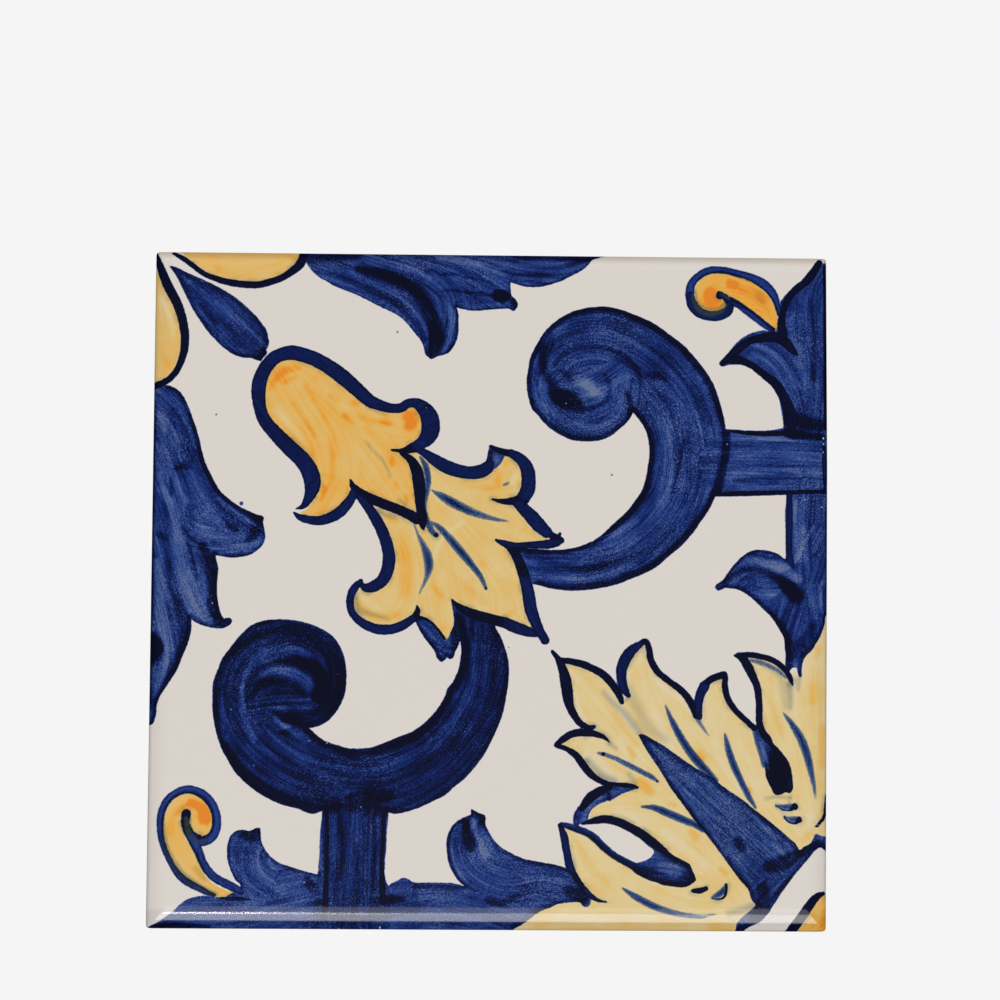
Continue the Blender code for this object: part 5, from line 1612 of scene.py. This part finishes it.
def clay_colour(n, place):
    """Pale fired clay, clouded, with small darker grains."""
    cloud = n.noise(place, 0.06, 4.0, 0.6)
    grit = n.noise(place, 0.9, 2.0, 0.6)
    colour = n.ramp(cloud, ((0.3, linear(212, 188, 164)), (0.7, linear(226, 206, 184))))
    return n.mix("MULTIPLY", n.map(grit, 0.6, 0.74, 0.0, 0.5), colour, CLAY_GRAIN)


def fired_clay():
    """The bare fired clay of the back."""
    n = Nodes("fired_clay")
    place = n.place()
    n.set(n.shader.inputs["Base Color"], clay_colour(n, place))
    n.shader.inputs["Roughness"].default_value = CLAY_ROUGHNESS
    n.shader.inputs["Specular IOR Level"].default_value = CLAY_SHINE
    n.bump(n.noise(place, 0.7, 3.0, 0.6), CLAY_BUMP_STRENGTH, CLAY_BUMP_HEIGHT)
    return n.material


# The camera in metres, found from the photographed corners of the tile
EYE = Vector((-0.0212, -0.0778, 0.800))
AIM = Vector((0.00189, 0.01818, 0.008))
CAMERA_ROLL = math.radians(0.28)
LENS = 139.2
SENSOR = 36.0


def make_camera():
    back = (EYE - AIM).normalized()
    right = Vector((0, 1, 0)).cross(back).normalized()
    up = back.cross(right)
    turned_right = right * math.cos(CAMERA_ROLL) + up * math.sin(CAMERA_ROLL)
    turned_up = up * math.cos(CAMERA_ROLL) - right * math.sin(CAMERA_ROLL)
    data = bpy.data.cameras.new("camera")
    data.sensor_width = SENSOR
    data.lens = LENS
    data.clip_start = 0.01
    data.clip_end = 20
    camera = bpy.data.objects.new("camera", data)
    turn = Matrix((turned_right, turned_up, back)).transposed()
    camera.matrix_world = Matrix.Translation(EYE) @ turn.to_4x4()
    bpy.context.scene.collection.objects.link(camera)
    bpy.context.scene.camera = camera


# The floor lies a hair under the back, and off centre so that no seam of it runs under the tile, in metres
FLOOR_SIDE = 6.0
FLOOR_DROP = 0.0003
FLOOR_SHIFT = 0.5
FLOOR_COLOUR = linear(245, 245, 245)


def make_floor():
    """A plain pale floor that glows evenly, so no shadow falls on it, as in the photograph."""
    size = FLOOR_SIDE / 2
    mesh = bpy.data.meshes.new("floor")
    corners = [(-size, -size, 0), (size, -size, 0), (size, size, 0), (-size, size, 0)]
    mesh.from_pydata(corners, [], [(0, 1, 2, 3)])
    floor = bpy.data.objects.new("floor", mesh)
    floor.location = (FLOOR_SHIFT, 0, -FLOOR_DROP)
    bpy.context.scene.collection.objects.link(floor)
    n = Nodes("floor")
    n.shader.inputs["Base Color"].default_value = (0, 0, 0, 1)
    n.shader.inputs["Roughness"].default_value = 1.0
    n.shader.inputs["Specular IOR Level"].default_value = 0.0
    n.shader.inputs["Emission Color"].default_value = FLOOR_COLOUR
    n.shader.inputs["Emission Strength"].default_value = 1.0
    n.clear_from_behind()
    mesh.materials.append(n.material)


CENTRE = Vector((0, 0, 0))


def area_light(name, place, width, height, power):
    """A rectangle of light that faces the middle of the tile."""
    data = bpy.data.lights.new(name, "AREA")
    data.shape = "RECTANGLE"
    data.size = width
    data.size_y = height
    data.energy = power
    light = bpy.data.objects.new(name, data)
    light.location = place
    light.rotation_euler = (CENTRE - Vector(place)).to_track_quat("-Z", "Y").to_euler()
    bpy.context.scene.collection.objects.link(light)
    return light


LIGHT_DISTANCE = 2.6
LIGHTS = {
    "softbox": {"tilt": 40, "width": 1.55, "length": 1.69, "power": 49.0, "mirrored": True},
    "panel": {"tilt": 13.4, "width": 1.55, "length": 0.77, "power": 6.4, "mirrored": True},
    "fill": {"tilt": -55, "width": 2.1, "length": 1.5, "power": 52.0, "mirrored": False},
}
BULB_PLACE = (-0.157, -0.98, 2.0)
BULB_LENGTH = 0.054
BULB_WIDTH = 0.14
BULB_POWER = 2.1


WORLD_COLOUR = (1, 0.98, 0.97, 1)
WORLD_STRENGTH = 0.03


def make_light():
    """A softbox, a panel and a bulb in front, which the near edge reflects, a fill behind, a dim room."""
    for name, light in LIGHTS.items():
        tilt = math.radians(light["tilt"])
        place = (0, -LIGHT_DISTANCE * math.sin(tilt), LIGHT_DISTANCE * math.cos(tilt))
        lamp = area_light(name, place, light["width"], light["length"], light["power"])
        lamp.visible_glossy = light["mirrored"]
    area_light("bulb", BULB_PLACE, BULB_LENGTH, BULB_WIDTH, BULB_POWER)
    world = bpy.data.worlds.new("studio")
    world.use_nodes = True
    background = world.node_tree.nodes["Background"]
    background.inputs["Color"].default_value = WORLD_COLOUR
    background.inputs["Strength"].default_value = WORLD_STRENGTH
    bpy.context.scene.world = world
    bpy.context.scene.view_settings.view_transform = "Standard"


make_camera()
make_floor()
make_light()
make_tile()
